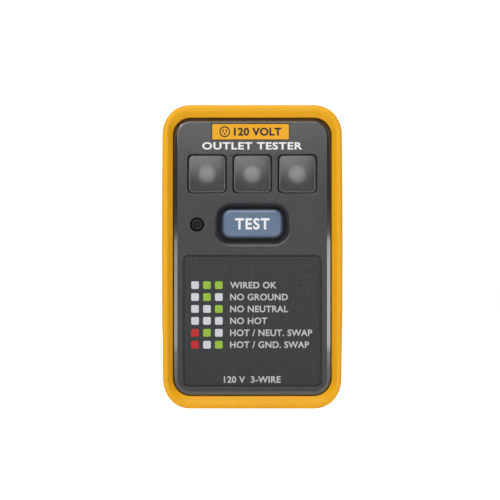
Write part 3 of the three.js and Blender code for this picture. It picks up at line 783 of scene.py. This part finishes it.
def fit_to_case(bm, plan, start, end):
    """Draw the rim's top and bottom in, where its wall is thicker than at the sides."""
    wall = plan.half_height - end
    wanted = case_plan().half_height + 0.15
    for vert in bm.verts:
        over_x = max(abs(vert.co.x - plan.x) - plan.half_width + plan.radius, 0.0)
        over_y = max(abs(vert.co.y - plan.y) - plan.half_height + plan.radius, 0.0)
        inset = plan.radius - math.hypot(over_x, over_y)
        share = min(max((inset - start) / (end - start), 0.0), 1.0)
        vert.co.y = plan.y + (vert.co.y - plan.y) * (1 + share * (wanted / wall - 1))


def shape_sides(bm, plan):
    """Draw the sides in towards their ends and press the grooves into them."""
    size = sizes()
    outer = plan.half_width - SIDE_SHELL
    middle = plan.y - GRIP_DROP
    for vert in bm.verts:
        side = 1 if vert.co.x > plan.x else -1
        share = (abs(vert.co.x - plan.x) - outer) / (plan.half_width - outer)
        if share <= 0:
            continue
        climb = (vert.co.y - plan.y - WAIST_RISE) / plan.half_height
        inwards = size.side_bow / MM * climb ** 2 * share
        if share > 0.999:
            inwards += groove_depth(plan, vert.co.z) * groove_run(vert.co.y - middle)
        vert.co.x -= side * inwards


def groove_depth(plan, z):
    for centre in grip_centres(plan):
        share = abs(z - centre) / (GRIP_WIDTH / 2)
        if share < 1:
            return sizes().grip_depth / MM * (0.5 + 0.5 * math.cos(math.pi * share))
    return 0.0


def groove_run(y):
    """1 along the groove, easing to 0 past its ends."""
    over = (abs(y) - GRIP_HALF_LENGTH) / GRIP_FADE
    return 1.0 if over <= 0 else max(0.0, 1 - over) ** 2


FACE_THICKNESS = 2.0
COVER_WALL = 1.8
OPENING_HALF = 4.7
PORT_RADIUS = 1.675
LEGEND_RECESS = 1.1
PLATE_RECESS = 0.5
POCKET_DEPTH = 1.5
POLISHED_DEPTH = 3.2


class TESTER_OT_front_cover(Operator):
    """Build the front cover, with its openings, pocket and recesses"""

    bl_idname = "tester.front_cover"
    bl_label = "Front cover"

    def execute(self, context):
        size = sizes()
        plan = case_plan()
        face = plan.front
        ceiling = face - FACE_THICKNESS
        soft = size.soft_edge / MM
        chamfer = size.chamfer / MM
        bm = bmesh.new()
        band(bm, plan, eased([
            (chamfer + soft, face), (chamfer, face, soft),
            (0.0, face - size.chamfer_depth / MM, 0.12),
            (0.0, plan.back), (COVER_WALL, plan.back), (COVER_WALL, ceiling),
        ]))
        for side in SIDES:
            opening = node_plan(f"window_{side}", 1.2)
            opening.half_width = opening.half_height = OPENING_HALF
            self.hole(bm, opening, face, soft, ceiling, 8)
        self.pocket(bm, face, ceiling)
        port = disc(*centre_of("port_plug"), PORT_RADIUS)
        band(bm, port, eased([(-0.2, face), (0.0, face, 0.18), (0.0, ceiling)]))
        legend = node_plan("legend_label", 1.1, grow=0.24)
        recess = face - LEGEND_RECESS
        self.hole(bm, legend, face, soft, recess, 8)
        plate = plate_plan(grow=0.2)
        shallow = face - PLATE_RECESS
        self.hole(bm, plate, face, 0.08, shallow, 4)
        self.posts(bm, plan, ceiling)
        weld(bm)
        fill_level(bm, face)
        fill_level(bm, ceiling)
        fill_level(bm, recess, legend)
        fill_level(bm, shallow, plate)
        for cut in range(BROW_CUTS):
            height = plan.y + plan.half_height - BROW_LENGTH + cut * BROW_STEP
            slice_through(bm, (0, height, 0), (0, 1, 0))
        lean_back(bm, ceiling + 0.5)
        bmesh.ops.recalc_face_normals(bm, faces=bm.faces[:])
        for polygon in bm.faces:
            middle = polygon.calc_center_median()
            outside = (
                abs(middle.x - plan.x) > plan.half_width - chamfer
                or abs(middle.y - plan.y) > plan.half_height - chamfer
                or corner_reach(plan, middle) > plan.radius - chamfer
            )
            if outside and middle.z > face - POLISHED_DEPTH:
                polygon.material_index = 1
        piece = finished("front_shell", bm, [cover_plastic(), gloss_edge()], smooth=28)
        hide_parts("front_cover")
        return {"FINISHED"}

    def hole(self, bm, plan, face, soft, depth, corner_steps):
        """Straight walls from a rounded rim in the face down to a depth."""
        band(bm, plan, eased([(-soft, face), (0.0, face, soft), (0.0, depth)]),
             corner_steps=corner_steps)

    def pocket(self, bm, face, ceiling):
        """Sloped walls down to the floor, the button's hole, and the boss behind it."""
        x, y = centre_of("test_button")
        pocket = Plan(x, y - 0.1, 9.0, 5.1, 3.9)
        floor = face - POCKET_DEPTH
        back = ceiling - 1.2
        band(bm, pocket, eased([
            (-0.45, face), (0.0, face, 0.35), (1.2, face - 0.9, 0.15), (1.38, floor, 0.08),
            (1.55, floor, 0.06), (1.55, back), (-1.3, back), (-1.3, ceiling),
        ]), corner_steps=12)

    def posts(self, bm, plan, ceiling):
        """Screw posts that stand on the back of the face."""
        for kind, count, radius, foot in (
            ("housing", 4, 2.7, plan.back + 0.1),
            ("board", 2, 2.5, face_box("circuit_board")[1].z + 0.15),
        ):
            for index in range(count):
                node = f"{kind}_screw_{index + 1}"
                post = disc(*centre_of(node), radius)
                self.post(bm, post, ceiling, foot, face_box(node)[1].z + 0.8)

    def post(self, bm, post, ceiling, foot, pilot):
        """A round post with a blind hole for its screw."""
        wall = post.radius - 1.3
        band(bm, post, eased([
            (0.0, ceiling), (0.0, foot, 0.15), (wall, foot, 0.1), (wall, pilot),
        ]), corner_steps=6)
        weld(bm)
        cap(bm, pilot, post)


def corner_reach(plan, point):
    """Distance from a corner's centre, or 0 away from the corners."""
    over_x = abs(point.x - plan.x) - (plan.half_width - plan.radius)
    over_y = abs(point.y - plan.y) - (plan.half_height - plan.radius)
    if over_x <= 0 or over_y <= 0:
        return 0.0
    return math.hypot(over_x, over_y)


def plate_plan(grow=0.0):
    return node_plan("name_plate", 0.3, grow=grow)


class TESTER_OT_rear_housing(Operator):
    """Finish the rear housing: the node keeps its shape and takes soft edges"""

    bl_idname = "tester.rear_housing"
    bl_label = "Rear housing"

    def execute(self, context):
        plastic = moulding("Housing plastic", colours().housing, 0.52, speckle=0.4,
                           depth=0.00003, strength=0.5)
        dress("rear_housing", plastic, 0.18)
        return {"FINISHED"}


def dress(node, material, edge):
    """Give a CAD node its finish and soft edges, and leave its mesh alone."""
    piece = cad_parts[node]
    piece.data.materials.clear()
    piece.data.materials.append(material)
    joined = piece.modifiers.new("Join", "WELD")
    joined.merge_threshold = 0.002 * MM
    flat = piece.modifiers.new("Flat faces", "DECIMATE")
    flat.decimate_type = "DISSOLVE"
    flat.angle_limit = math.radians(0.6)
    bevel = piece.modifiers.new("Soft edges", "BEVEL")
    bevel.width = edge * MM
    bevel.segments = 3
    bevel.limit_method = "ANGLE"
    bevel.angle_limit = math.radians(30)
    bevel.harden_normals = False
    shading = piece.modifiers.new("Even shading", "WEIGHTED_NORMAL")
    shading.keep_sharp = True
    piece.data.polygons.foreach_set("use_smooth", [True] * len(piece.data.polygons))


LENS_HALF_WIDTH = 4.325
LENS_HALF_HEIGHT = 4.4
LENS_SWELL = 0.4
LENS_LEAN = 0.05
LENS_CUTS = 16
FRONT_FACING = 0.93
RIM_FACING = 0.2


class TESTER_OT_windows(Operator):
    """Build the three smoked windows"""

    bl_idname = "tester.windows"
    bl_label = "Windows"

    def execute(self, context):
        for side in SIDES:
            flange = node_plan(f"window_{side}", 0.8)
            shoulder = flange.back + 0.8
            lens = Plan(flange.x, flange.y, LENS_HALF_WIDTH, LENS_HALF_HEIGHT, 1.0)
            bm = bmesh.new()
            edge = flange.front - 0.2
            band(bm, lens, eased([
                (0.0, shoulder), (0.0, edge - 0.02, 0.2), (0.9, edge),
            ], steps=6), corner_steps=8)
            weld(bm)
            cap(bm, edge, lens)
            self.dome(bm, lens, edge)
            band(bm, flange, eased([
                (flange.half_width - LENS_HALF_HEIGHT, shoulder), (0.0, shoulder, 0.1),
                (0.0, flange.back, 0.1), (0.79, flange.back),
            ]), corner_steps=8)
            weld(bm)
            cap(bm, flange.back, flange)
            fill_level(bm, shoulder)
            lean_back(bm)
            # The smoked front carries a painted reflection, lighter towards the top, and the rim
            # carries a painted highlight.
            layers = [smoked_plastic("Smoked plastic", flange.y), window_rim_highlight(), clear_plastic()]
            piece = finished(f"smoked_window_{side}", bm, layers, smooth=30)
            # Faces near the front that turn partly away take the painted rim highlight; faces
            # turned further away take the clear plastic.
            for polygon in piece.data.polygons:
                near = -polygon.center.y / MM > (shoulder + edge) / 2
                forward = -polygon.normal.y if near else 0.0
                polygon.material_index = (forward <= FRONT_FACING) + (forward <= RIM_FACING)
            piece.visible_shadow = False
            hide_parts(f"window_{side}")
        return {"FINISHED"}

    def dome(self, bm, lens, edge):
        """Cut the block into a fine net, and swell and tip its front."""
        for cut in range(1, LENS_CUTS):
            share = cut / (LENS_CUTS / 2) - 1
            for normal, reach in (((1, 0, 0), lens.half_width), ((0, 1, 0), lens.half_height)):
                place = Vector((lens.x, lens.y, 0)) + Vector(normal) * share * reach
                slice_through(bm, place, normal)
        for vert in bm.verts:
            if vert.co.z > edge - 0.6:
                across = (vert.co.x - lens.x) / lens.half_width
                up = (vert.co.y - lens.y) / lens.half_height
                vert.co.z += LENS_SWELL * (1 - (across ** 2 + up ** 2) / 2) - LENS_LEAN * up


LAMP_RADIUS = 2.5
LAMP_FLANGE = 2.9
LEAD_REACH = 1.27
LEAD_HALF = 0.3
DOME_STEPS = 10


class TESTER_OT_lamps(Operator):
    """Build the three lamps and finish the baffle round them"""

    bl_idname = "tester.lamps"
    bl_label = "Lamps"

    def execute(self, context):
        # The lamps' resin carries a painted glow and painted light and shade, brightest at the
        # crown.
        epoxy = epoxy_with_painted_glow("Milky epoxy", face_box("led_left")[1].z)
        base = face_box("circuit_board")[1].z + 0.3
        for side in SIDES:
            low, high = face_box(f"led_{side}")
            x, y = centre_of(f"led_{side}")
            bm = bmesh.new()
            profile = eased([
                (0.0, base), (LAMP_FLANGE, base, 0.1), (LAMP_FLANGE, base + 1.0, 0.12),
                (LAMP_RADIUS, base + 1.0),
            ])
            rim = high.z - LAMP_RADIUS
            for step in range(DOME_STEPS):
                angle = step / DOME_STEPS * math.pi / 2
                profile.append((LAMP_RADIUS * math.cos(angle), rim + LAMP_RADIUS * math.sin(angle)))
            profile.append((0.0, high.z))
            lathe(bm, profile, x, y)
            for lead in (-LEAD_REACH, LEAD_REACH):
                hull_block(bm, x + lead - LEAD_HALF, x + lead + LEAD_HALF,
                           y - LEAD_HALF, y + LEAD_HALF, low.z, base - 0.01)
            piece = finished(f"lamp_{side}", bm, [epoxy, zinc()])
            for polygon in piece.data.polygons:
                if -polygon.center.y / MM < base - 0.005:
                    polygon.material_index = 1
            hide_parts(f"led_{side}")
        grey = moulding("Baffle plastic", screen(48, 48, 49), 0.6,
                        speckle=0.3, specular_ior_level=0.25)
        dress("lamp_baffle", grey, 0.12)
        return {"FINISHED"}


BUTTON_SHELF = 31.0
KEY_HALF_WIDTH = 7.1
KEY_HALF_HEIGHT = 3.35


class TESTER_OT_button(Operator):
    """Build the test button and its lettering"""

    bl_idname = "tester.button"
    bl_label = "Test button"

    def execute(self, context):
        flange = node_plan("test_button", 3.1)
        top = flange.front
        key = Plan(flange.x, flange.y, KEY_HALF_WIDTH, KEY_HALF_HEIGHT, 1.9)
        crown = top + 0.02
        shelf = BUTTON_SHELF
        foot = shelf - 1.0
        rubber = moulding("Button rubber", colours().button, 0.42, drift=0.02, speckle=0.04,
                          depth=0.000008, strength=0.3, coat_weight=0.5, coat_roughness=0.12)
        bm = bmesh.new()
        band(bm, key, eased([
            (0.0, shelf), (0.04, top, 0.75), (1.5, crown),
        ], steps=8), corner_steps=12)
        weld(bm)
        cap(bm, crown, key)
        band(bm, flange, eased([
            (flange.half_width - key.half_width, shelf), (0.0, shelf, 0.15), (0.0, foot, 0.15),
            (1.8, foot),
        ]), corner_steps=12)
        stem = disc(flange.x, flange.y, 1.6)
        band(bm, stem, eased([(0.0, foot), (0.0, flange.back, 0.2), (1.0, flange.back)]))
        weld(bm)
        cap(bm, flange.back, stem)
        fill_level(bm, shelf)
        fill_level(bm, foot)
        piece = finished("test_key", bm, [rubber], body=BUTTON_BODY, smooth=35)
        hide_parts("test_button")
        ink = print_ink("Button ink", colours().title_print)
        lettering("test_key_word", "TEST", (key.x, key.y - 0.1, crown),
                  sizes().button_text / MM, ink, body=BUTTON_BODY, align="CENTER",
                  weight=0.032, width=8.3, tracking=1.16)
        return {"FINISHED"}


class TESTER_OT_port(Operator):
    """Build the dimpled plug in the small round port"""

    bl_idname = "tester.port"
    bl_label = "Port plug"

    def execute(self, context):
        low, high = face_box("port_plug")
        end = high.z
        shoulder = low.z + 1.0
        bm = bmesh.new()
        lathe(bm, eased([
            (0.0, low.z), (2.3, low.z, 0.1), (2.3, shoulder, 0.1), (1.4, shoulder),
            (1.4, end, 0.15), (0.85, end, 0.15), (0.35, end - 0.34, 0.15), (0.0, end - 0.4),
        ]), *centre_of("port_plug"))
        stopper = moulding("Port plastic", screen(22, 21, 21), 0.5,
                           speckle=0.2, specular_ior_level=0.25)
        piece = finished("port_stopper", bm, [stopper])
        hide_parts("port_plug")
        return {"FINISHED"}


LEGEND_ROWS = (
    ("WGG", "WIRED OK"),
    ("WGW", "NO GROUND"),
    ("WWG", "NO NEUTRAL"),
    ("WWW", "NO HOT"),
    ("RGW", "HOT / NEUT. SWAP"),
    ("RWG", "HOT / GND. SWAP"),
)
LEGEND_FIRST_ROW = 6.81
LEGEND_ROW_PITCH = 2.857
LEGEND_COLUMN_PITCH = 2.85
LEGEND_FIRST_COLUMN = 2.55
LEGEND_WORDS = 10.95
RATING_UP = 1.35


class TESTER_OT_legend(Operator):
    """Build the printed legend panel with its colour squares and words"""

    bl_idname = "tester.legend"
    bl_label = "Legend"

    def execute(self, context):
        panel = node_plan("legend_label", 1.1, grow=-0.15)
        film = moulding("Legend film", colours().legend, 0.42, speckle=2.2, scale=3000.0,
                        depth=0.00006, strength=0.45, specular_ior_level=0.36)
        bm = bmesh.new()
        slab(bm, panel, eased([
            (0.8, panel.back), (0.0, panel.back, 0.05), (0.0, panel.front, 0.12),
            (0.8, panel.front),
        ]), corner_steps=8)
        piece = finished("legend_panel", bm, [film])
        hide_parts("legend_label")
        self.squares(panel)
        self.words(panel)
        return {"FINISHED"}

    def squares(self, panel):
        inks = {
            "white": colours().white_print,
            "green": colours().green_print,
            "red": colours().red_print,
        }
        half = sizes().legend_mark / MM / 2
        left = panel.x - panel.half_width + LEGEND_FIRST_COLUMN
        top = panel.y + panel.half_height - LEGEND_FIRST_ROW
        for word, tint in inks.items():
            ink = print_ink(f"{word.title()} ink", tint)
            bm = bmesh.new()
            for row, (codes, _) in enumerate(LEGEND_ROWS):
                for column, letter in enumerate(codes):
                    if letter == word[0].upper():
                        x = left + column * LEGEND_COLUMN_PITCH
                        y = top - row * LEGEND_ROW_PITCH
                        ink_mark(bm, Plan(x, y, half, half, 0.32), panel.front, 0.3, 4)
            finished(f"legend_squares_{word}", bm, [ink])

    def words(self, panel):
        ink = print_ink("Pale ink", colours().pale_print)
        left = panel.x - panel.half_width + LEGEND_WORDS
        top = panel.y + panel.half_height - LEGEND_FIRST_ROW
        for row, (_, words) in enumerate(LEGEND_ROWS):
            y = top - row * LEGEND_ROW_PITCH
            piece = lettering(f"legend_words_{row + 1}", words, (left, y, panel.front),
                              sizes().legend_text / MM, ink)
        foot = panel.y - panel.half_height + RATING_UP
        piece = lettering("legend_rating", "120 V  3-WIRE", (panel.x, foot, panel.front),
                          sizes().legend_text / MM, ink, align="CENTER")


class TESTER_OT_plate(Operator):
    """Build the plain yellow plate, its outlet mark and the title under it"""

    bl_idname = "tester.plate"
    bl_label = "Plate and title"

    def execute(self, context):
        plan = plate_plan()
        case = case_plan()
        level = case.front + 0.08
        film = moulding("Plate film", colours().plate, 0.45, speckle=0.05, depth=0.000006,
                        strength=0.3, specular_ior_level=0.2)
        bm = bmesh.new()
        back = level - 0.35
        slab(bm, plan, eased([(0.25, back), (0.0, back), (0.0, level, 0.06), (0.25, level)]),
             corner_steps=4)
        lean_back(bm)
        piece = finished("yellow_plate", bm, [film])
        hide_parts("name_plate")
        ink = print_ink("Dark ink", colours().dark_print)
        mark = lettering("plate_word", "120 VOLT", (plan.x + 1.7, plan.y, level), 1.95, ink,
                         align="CENTER", weight=0.035, width=11.4, bend=lean_back)
        self.outlet_mark(plan, level, ink)
        title_ink = print_ink("Title ink", colours().title_print)
        title = lettering("title_words", "OUTLET TESTER", (case.x, plan.y - 3.4, case.front),
                          1.8, title_ink, align="CENTER", weight=0.03, tracking=1.12,
                          width=24.0, bend=lean_back)
        return {"FINISHED"}

    def outlet_mark(self, plan, level, ink):
        """A ring round two slots and a round hole, as an outlet looks."""
        x, y = plan.x - 6.2, plan.y
        bm = bmesh.new()
        top = level + sizes().print_depth / MM
        band(bm, disc(x, y, 1.3), [(0.0, level), (0.0, top), (0.28, top), (0.28, level)],
             closed=True)
        for slot_x in (-0.42, 0.42):
            ink_mark(bm, Plan(x + slot_x, y + 0.2, 0.13, 0.38, 0.05), level, 0.05 * 0.6, 5)
        ink_mark(bm, disc(x, y - 0.52, 0.22), level, 0.22 * 0.6, 5)
        lean_back(bm)
        finished("plate_outlet_mark", bm, [ink])


COLLAR_BACK = 2.8
COLLAR_FRONT = 4.3
COLLAR_STEP = 1.6
PIN_RADIUS = 2.375
PIN_NOSE = 2.1
NOSE_STEPS = 8
BLADE_HOLE = (-11.7, 2.0)
BLADE_EASING = 0.22
TAIL_HALF = 1.2


class TESTER_OT_plug(Operator):
    """Build the flat blades and the round pin"""

    bl_idname = "tester.plug"
    bl_label = "Plug"

    def execute(self, context):
        nickel = metal("Nickel plate", screen(202, 202, 200), 0.24)
        for node, name, finish, kind in (
            ("hot_blade", "flat_blade_hot", brass(), "brass"),
            ("neutral_blade", "flat_blade_neutral", nickel, "plated"),
        ):
            piece = self.blade(node, name, finish)
            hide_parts(node)
        low, high = face_box("ground_pin")
        bm = bmesh.new()
        profile = []
        for step in range(NOSE_STEPS + 1):
            angle = step / NOSE_STEPS * math.pi / 2
            profile.append((PIN_RADIUS * math.sin(angle),
                            low.z + PIN_NOSE * (1 - math.cos(angle))))
        profile += eased([
            (PIN_RADIUS, low.z + 3.0), (PIN_RADIUS, COLLAR_BACK),
            (PIN_RADIUS + COLLAR_STEP, COLLAR_BACK, 0.15),
            (PIN_RADIUS + COLLAR_STEP, COLLAR_FRONT, 0.15),
            (1.1, COLLAR_FRONT), (1.1, high.z, 0.15), (0.0, high.z),
        ])
        lathe(bm, profile, *centre_of("ground_pin"), steps=48)
        piece = finished("round_ground_pin", bm, [brass()])
        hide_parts("ground_pin")
        return {"FINISHED"}

    def blade(self, node, name, finish):
        """A stamped blade: its outline and hole, filled, drawn to its thickness and eased."""
        low, high = face_box(node)
        middle = (low.y + high.y) / 2
        shoulder = (high.y - low.y) / 2
        half = shoulder - COLLAR_STEP
        right = (
            (half - 1.3, low.z), (half, low.z + 1.8), (half, COLLAR_BACK), (shoulder, COLLAR_BACK),
            (shoulder, COLLAR_FRONT), (TAIL_HALF, COLLAR_FRONT), (TAIL_HALF, high.z),
        )
        outline = [(-half + 1.3, low.z), *right, *((-y, z) for y, z in right[:0:-1])]
        bm = bmesh.new()
        verts = [bm.verts.new((low.x, middle + y, z)) for y, z in outline]
        edges = [bm.edges.new((a, b)) for a, b in zip(verts, verts[1:] + verts[:1])]
        along, radius = BLADE_HOLE
        hole = Matrix.Translation((low.x, middle, along)) @ Matrix.Rotation(math.pi / 2, 4, "Y")
        ring = bmesh.ops.create_circle(bm, cap_ends=False, segments=40, radius=radius, matrix=hole)
        edges += ring_edges(ring["verts"])
        bmesh.ops.triangle_fill(bm, edges=edges, use_beauty=True, use_dissolve=False)
        thicken(bm, (high.x - low.x, 0, 0))
        bmesh.ops.recalc_face_normals(bm, faces=bm.faces[:])
        rims = [e for e in bm.edges if e.is_manifold and e.calc_face_angle() > math.radians(50)
                and abs(e.verts[0].co.x - e.verts[1].co.x) < 0.001]
        bmesh.ops.bevel(bm, geom=rims, offset=BLADE_EASING, offset_type="OFFSET", segments=3,
                        profile=0.5, affect="EDGES", clamp_overlap=True, material=-1)
        return finished(name, bm, [finish])


THREAD_RIDGES = 14
THREAD_PITCH = 1.05


class TESTER_OT_fasteners(Operator):
    """Build the case screws with crossed recesses, and finish the inner screws"""

    bl_idname = "tester.fasteners"
    bl_label = "Fasteners"

    def execute(self, context):
        for index in range(1, 5):
            self.screw(f"housing_screw_{index}", f"case_screw_{index}")
        for node in ("clamp_screw_1", "clamp_screw_2", "board_screw_1", "board_screw_2"):
            dress(node, zinc(), 0.08)
        return {"FINISHED"}

    def screw(self, node, name):
        low, high = face_box(node)
        x, y = centre_of(node)
        radius = (high.x - low.x) / 2
        seat = low.z + 1.7
        bm = bmesh.new()
        profile = eased([
            (0.0, low.z), (radius * 0.62, low.z + 0.06, 0.4), (radius, low.z + 0.9, 0.5),
            (radius, seat, 0.1), (1.0, seat),
        ])
        root, crest = 0.86, 1.1
        for turn in range(THREAD_RIDGES):
            along = seat + 0.6 + turn * THREAD_PITCH
            profile += [(root, along), (crest, along + 0.3), (root, along + 0.6)]
        profile += [(root, high.z - 1.2), (0.0, high.z)]
        lathe(bm, profile, x, y, steps=36)
        piece = finished(name, bm, [zinc()])
        carved(piece, self.cross(x, y, low.z))
        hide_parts(node)

    def cross(self, x, y, head):
        """The driver's shape, a cross that narrows as it goes into the head."""
        bm = bmesh.new()
        rings = []
        for level, reach, half in ((head - 0.5, 1.25, 0.27), (head + 0.95, 0.7, 0.18)):
            ring = []
            for turn in range(4):
                for along, across in ((half, half), (reach, half), (reach, -half)):
                    for _ in range(turn):
                        along, across = across, -along
                    ring.append(bm.verts.new((x + along, y + across, level)))
            rings.append(ring)
        for index in range(12):
            after = (index + 1) % 12
            bm.faces.new((rings[0][index], rings[0][after], rings[1][after], rings[1][index]))
        for ring in rings:
            bm.faces.new(ring)
        return bm


class TESTER_OT_inside(Operator):
    """Finish the board, its components, the clamp and the switch, and coil the spring"""

    bl_idname = "tester.inside"
    bl_label = "Inside"

    def execute(self, context):
        dress("blade_clamp", black_plastic(), 0.12)
        dress("circuit_board", board_laminate("Board laminate"), 0.05)
        dress("switch_body", black_plastic(), 0.1)
        plunger = moulding("Acetal", screen(226, 222, 210), 0.4)
        dress("switch_plunger", plunger, 0.08)
        diode = moulding("Diode epoxy", screen(28, 28, 30), 0.35)
        for index in (1, 2, 3):
            dress(f"dropper_resistor_{index}", banded("Dropper resistor", "Z", 3.2), 0.05)
            dress(f"diode_{index}", diode, 0.05)
        dress("test_resistor", banded("Test resistor", "X", 5.5), 0.06)
        blue = moulding("Varistor dip", screen(44, 98, 176), 0.3)
        dress("varistor", blue, 0.4)
        self.spring()
        return {"FINISHED"}

    def spring(self):
        """A round wire wound from the switch to the button."""
        low, high = face_box("button_spring")
        wire = 0.2
        radius = (high.x - low.x) / 2 - wire
        turns = 3
        steps = 30
        rise = (high.z - low.z - 2 * wire) / (turns * steps)
        bm = bmesh.new()
        upright = Matrix.Rotation(math.pi / 2, 4, "X")
        start = Matrix.Translation((radius, 0, low.z + wire)) @ upright
        ring = bmesh.ops.create_circle(bm, cap_ends=True, segments=10, radius=wire, matrix=start)
        bmesh.ops.spin(
            bm, geom=ring["verts"] + ring_edges(ring["verts"]) + bm.faces[:], cent=(0, 0, 0),
            axis=(0, 0, 1), dvec=(0, 0, rise), angle=2 * math.pi * turns, steps=turns * steps,
            use_merge=False, use_duplicate=False,
        )
        x, y = centre_of("button_spring")
        move(bm, (x, y, 0))
        piece = finished("return_spring", bm, [zinc()])
        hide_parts("button_spring")
        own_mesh(piece)


# ---------------- stage

CAMERA_DISTANCE = 1.0
VIEW_WIDTH = 0.11975
STRIP_HEIGHT = 0.0225
AIM_RIGHT = -0.00054
AIM_UP = 0.00162


class TESTER_OT_stage(Operator):
    """Set the floor, the backdrop, the lights and the camera"""

    bl_idname = "tester.stage"
    bl_label = "Stage"

    def execute(self, context):
        scene = context.scene
        scene.view_settings.view_transform = "Standard"
        low, high = CAD_BOX
        self.floor(low.z)
        self.world(scene)
        centre = Vector(((low.x + high.x) / 2, 0, (low.z + high.z) / 2))
        self.softbox("key", centre, (-0.12, -0.66, 0.31), (0.50, 0.40), 2.5)
        self.softbox("overhead", centre, (-0.08, -0.15, 0.58), (0.50, 0.30), 1.8)
        self.softbox("behind", centre, (0.25, 0.75, 0.35), (0.60, 0.50), 4.0)
        for name, x, y, power in (
            ("left", -0.32, -0.40, 0.08), ("right", 0.32, -0.40, 0.12),
            ("middle", 0.10, -0.52, 0.06),
        ):
            strip = self.softbox(f"low_strip_{name}", centre, (x, y, 0), (0.30, 0.040), power)
            strip.location.z = low.z + STRIP_HEIGHT
            strip.rotation_euler.x = math.pi / 2
        self.camera(scene, low, high)
        return {"FINISHED"}

    def floor(self, level):
        """A wide round floor of pale paper."""
        bm = bmesh.new()
        bmesh.ops.create_circle(bm, cap_ends=True, segments=96, radius=3.0,
                                matrix=Matrix.Translation((0, 0, level)))
        piece = linked("studio_floor", bm)
        piece.data.materials.append(self.paper())

    def paper(self):
        """Pale paper, brighter to the camera than to the object, so that it shows white."""
        material, tree, shader = new_material("Studio paper")
        pigment(tree, shader, (0.8, 0.8, 0.8), drift=0.02, speckle=0.0)
        supply(tree, shader, {
            "Roughness": 0.9, "Specular IOR Level": 0.1, "Emission Color": (1.0, 1.0, 1.0, 1.0),
            "Emission Strength": self.seen_level(tree, 0.22, 0.92),
        })
        return material

    def seen_level(self, tree, lit, seen):
        """One level of light for the object, and another for what the camera sees."""
        path = placed(tree, "LightPath")["Is Camera Ray"]
        return sent(tree, "MapRange", {"Value": path, "To Min": lit, "To Max": seen})

    def world(self, scene):
        world = bpy.data.worlds.new("Studio air")
        scene.world = world
        world.use_nodes = True
        tree = world.node_tree
        supply(tree, tree.nodes["Background"], {
            "Color": (1.0, 1.0, 1.0, 1.0), "Strength": self.seen_level(tree, 0.12, 1.1),
        })

    def softbox(self, name, target, place, size, power):
        light = bpy.data.lights.new(name, "AREA")
        light.shape = "RECTANGLE"
        light.size, light.size_y = size
        light.energy = power
        lamp = added(name, light)
        lamp.location = target + Vector(place)
        lamp.rotation_euler = (target - lamp.location).to_track_quat("-Z", "Y").to_euler()
        lamp.visible_camera = False
        return lamp

    def camera(self, scene, low, high):
        data = bpy.data.cameras.new("Camera")
        camera = added("Camera", data)
        data.sensor_width = 36.0
        data.lens = data.sensor_width * CAMERA_DISTANCE / VIEW_WIDTH
        data.clip_start = 0.05
        data.clip_end = 20.0
        x = (low.x + high.x) / 2 + AIM_RIGHT
        z = (low.z + high.z) / 2 + AIM_UP
        camera.location = (x, low.y - CAMERA_DISTANCE, z)
        camera.rotation_euler = (math.pi / 2, 0, 0)
        scene.camera = camera


class TESTER_PT_sidebar(Panel):
    """Lists the tester's pieces, its sizes and its colours"""

    bl_label = "Outlet tester"
    bl_idname = "TESTER_PT_sidebar"
    bl_space_type = "VIEW_3D"
    bl_region_type = "UI"
    bl_category = "Tester"

    def draw(self, context):
        layout = self.layout
        for operator in PIECES:
            layout.operator(operator.bl_idname)
        for group in (context.scene.tester_sizes, context.scene.tester_colours):
            box = layout.box()
            for name in group.__annotations__:
                box.prop(group, name)


PIECES = (
    TESTER_OT_bumper,
    TESTER_OT_front_cover,
    TESTER_OT_rear_housing,
    TESTER_OT_lamps,
    TESTER_OT_windows,
    TESTER_OT_button,
    TESTER_OT_port,
    TESTER_OT_legend,
    TESTER_OT_plate,
    TESTER_OT_plug,
    TESTER_OT_fasteners,
    TESTER_OT_inside,
    TESTER_OT_stage,
)
CLASSES = (TesterSizes, TesterColours, *PIECES, TESTER_PT_sidebar)


def register():
    for cls in CLASSES:
        bpy.utils.register_class(cls)
    bpy.types.Scene.tester_sizes = PointerProperty(type=TesterSizes)
    bpy.types.Scene.tester_colours = PointerProperty(type=TesterColours)


def unregister():
    del bpy.types.Scene.tester_colours
    del bpy.types.Scene.tester_sizes
    for cls in reversed(CLASSES):
        bpy.utils.unregister_class(cls)


def main():
    register()
    bpy.ops.tester.bumper()
    bpy.ops.tester.front_cover()
    bpy.ops.tester.rear_housing()
    bpy.ops.tester.lamps()
    bpy.ops.tester.windows()
    bpy.ops.tester.button()
    bpy.ops.tester.port()
    bpy.ops.tester.legend()
    bpy.ops.tester.plate()
    bpy.ops.tester.plug()
    bpy.ops.tester.fasteners()
    bpy.ops.tester.inside()
    bpy.ops.tester.stage()
    bpy.context.view_layer.update()


if __name__ == "__main__":
    main()
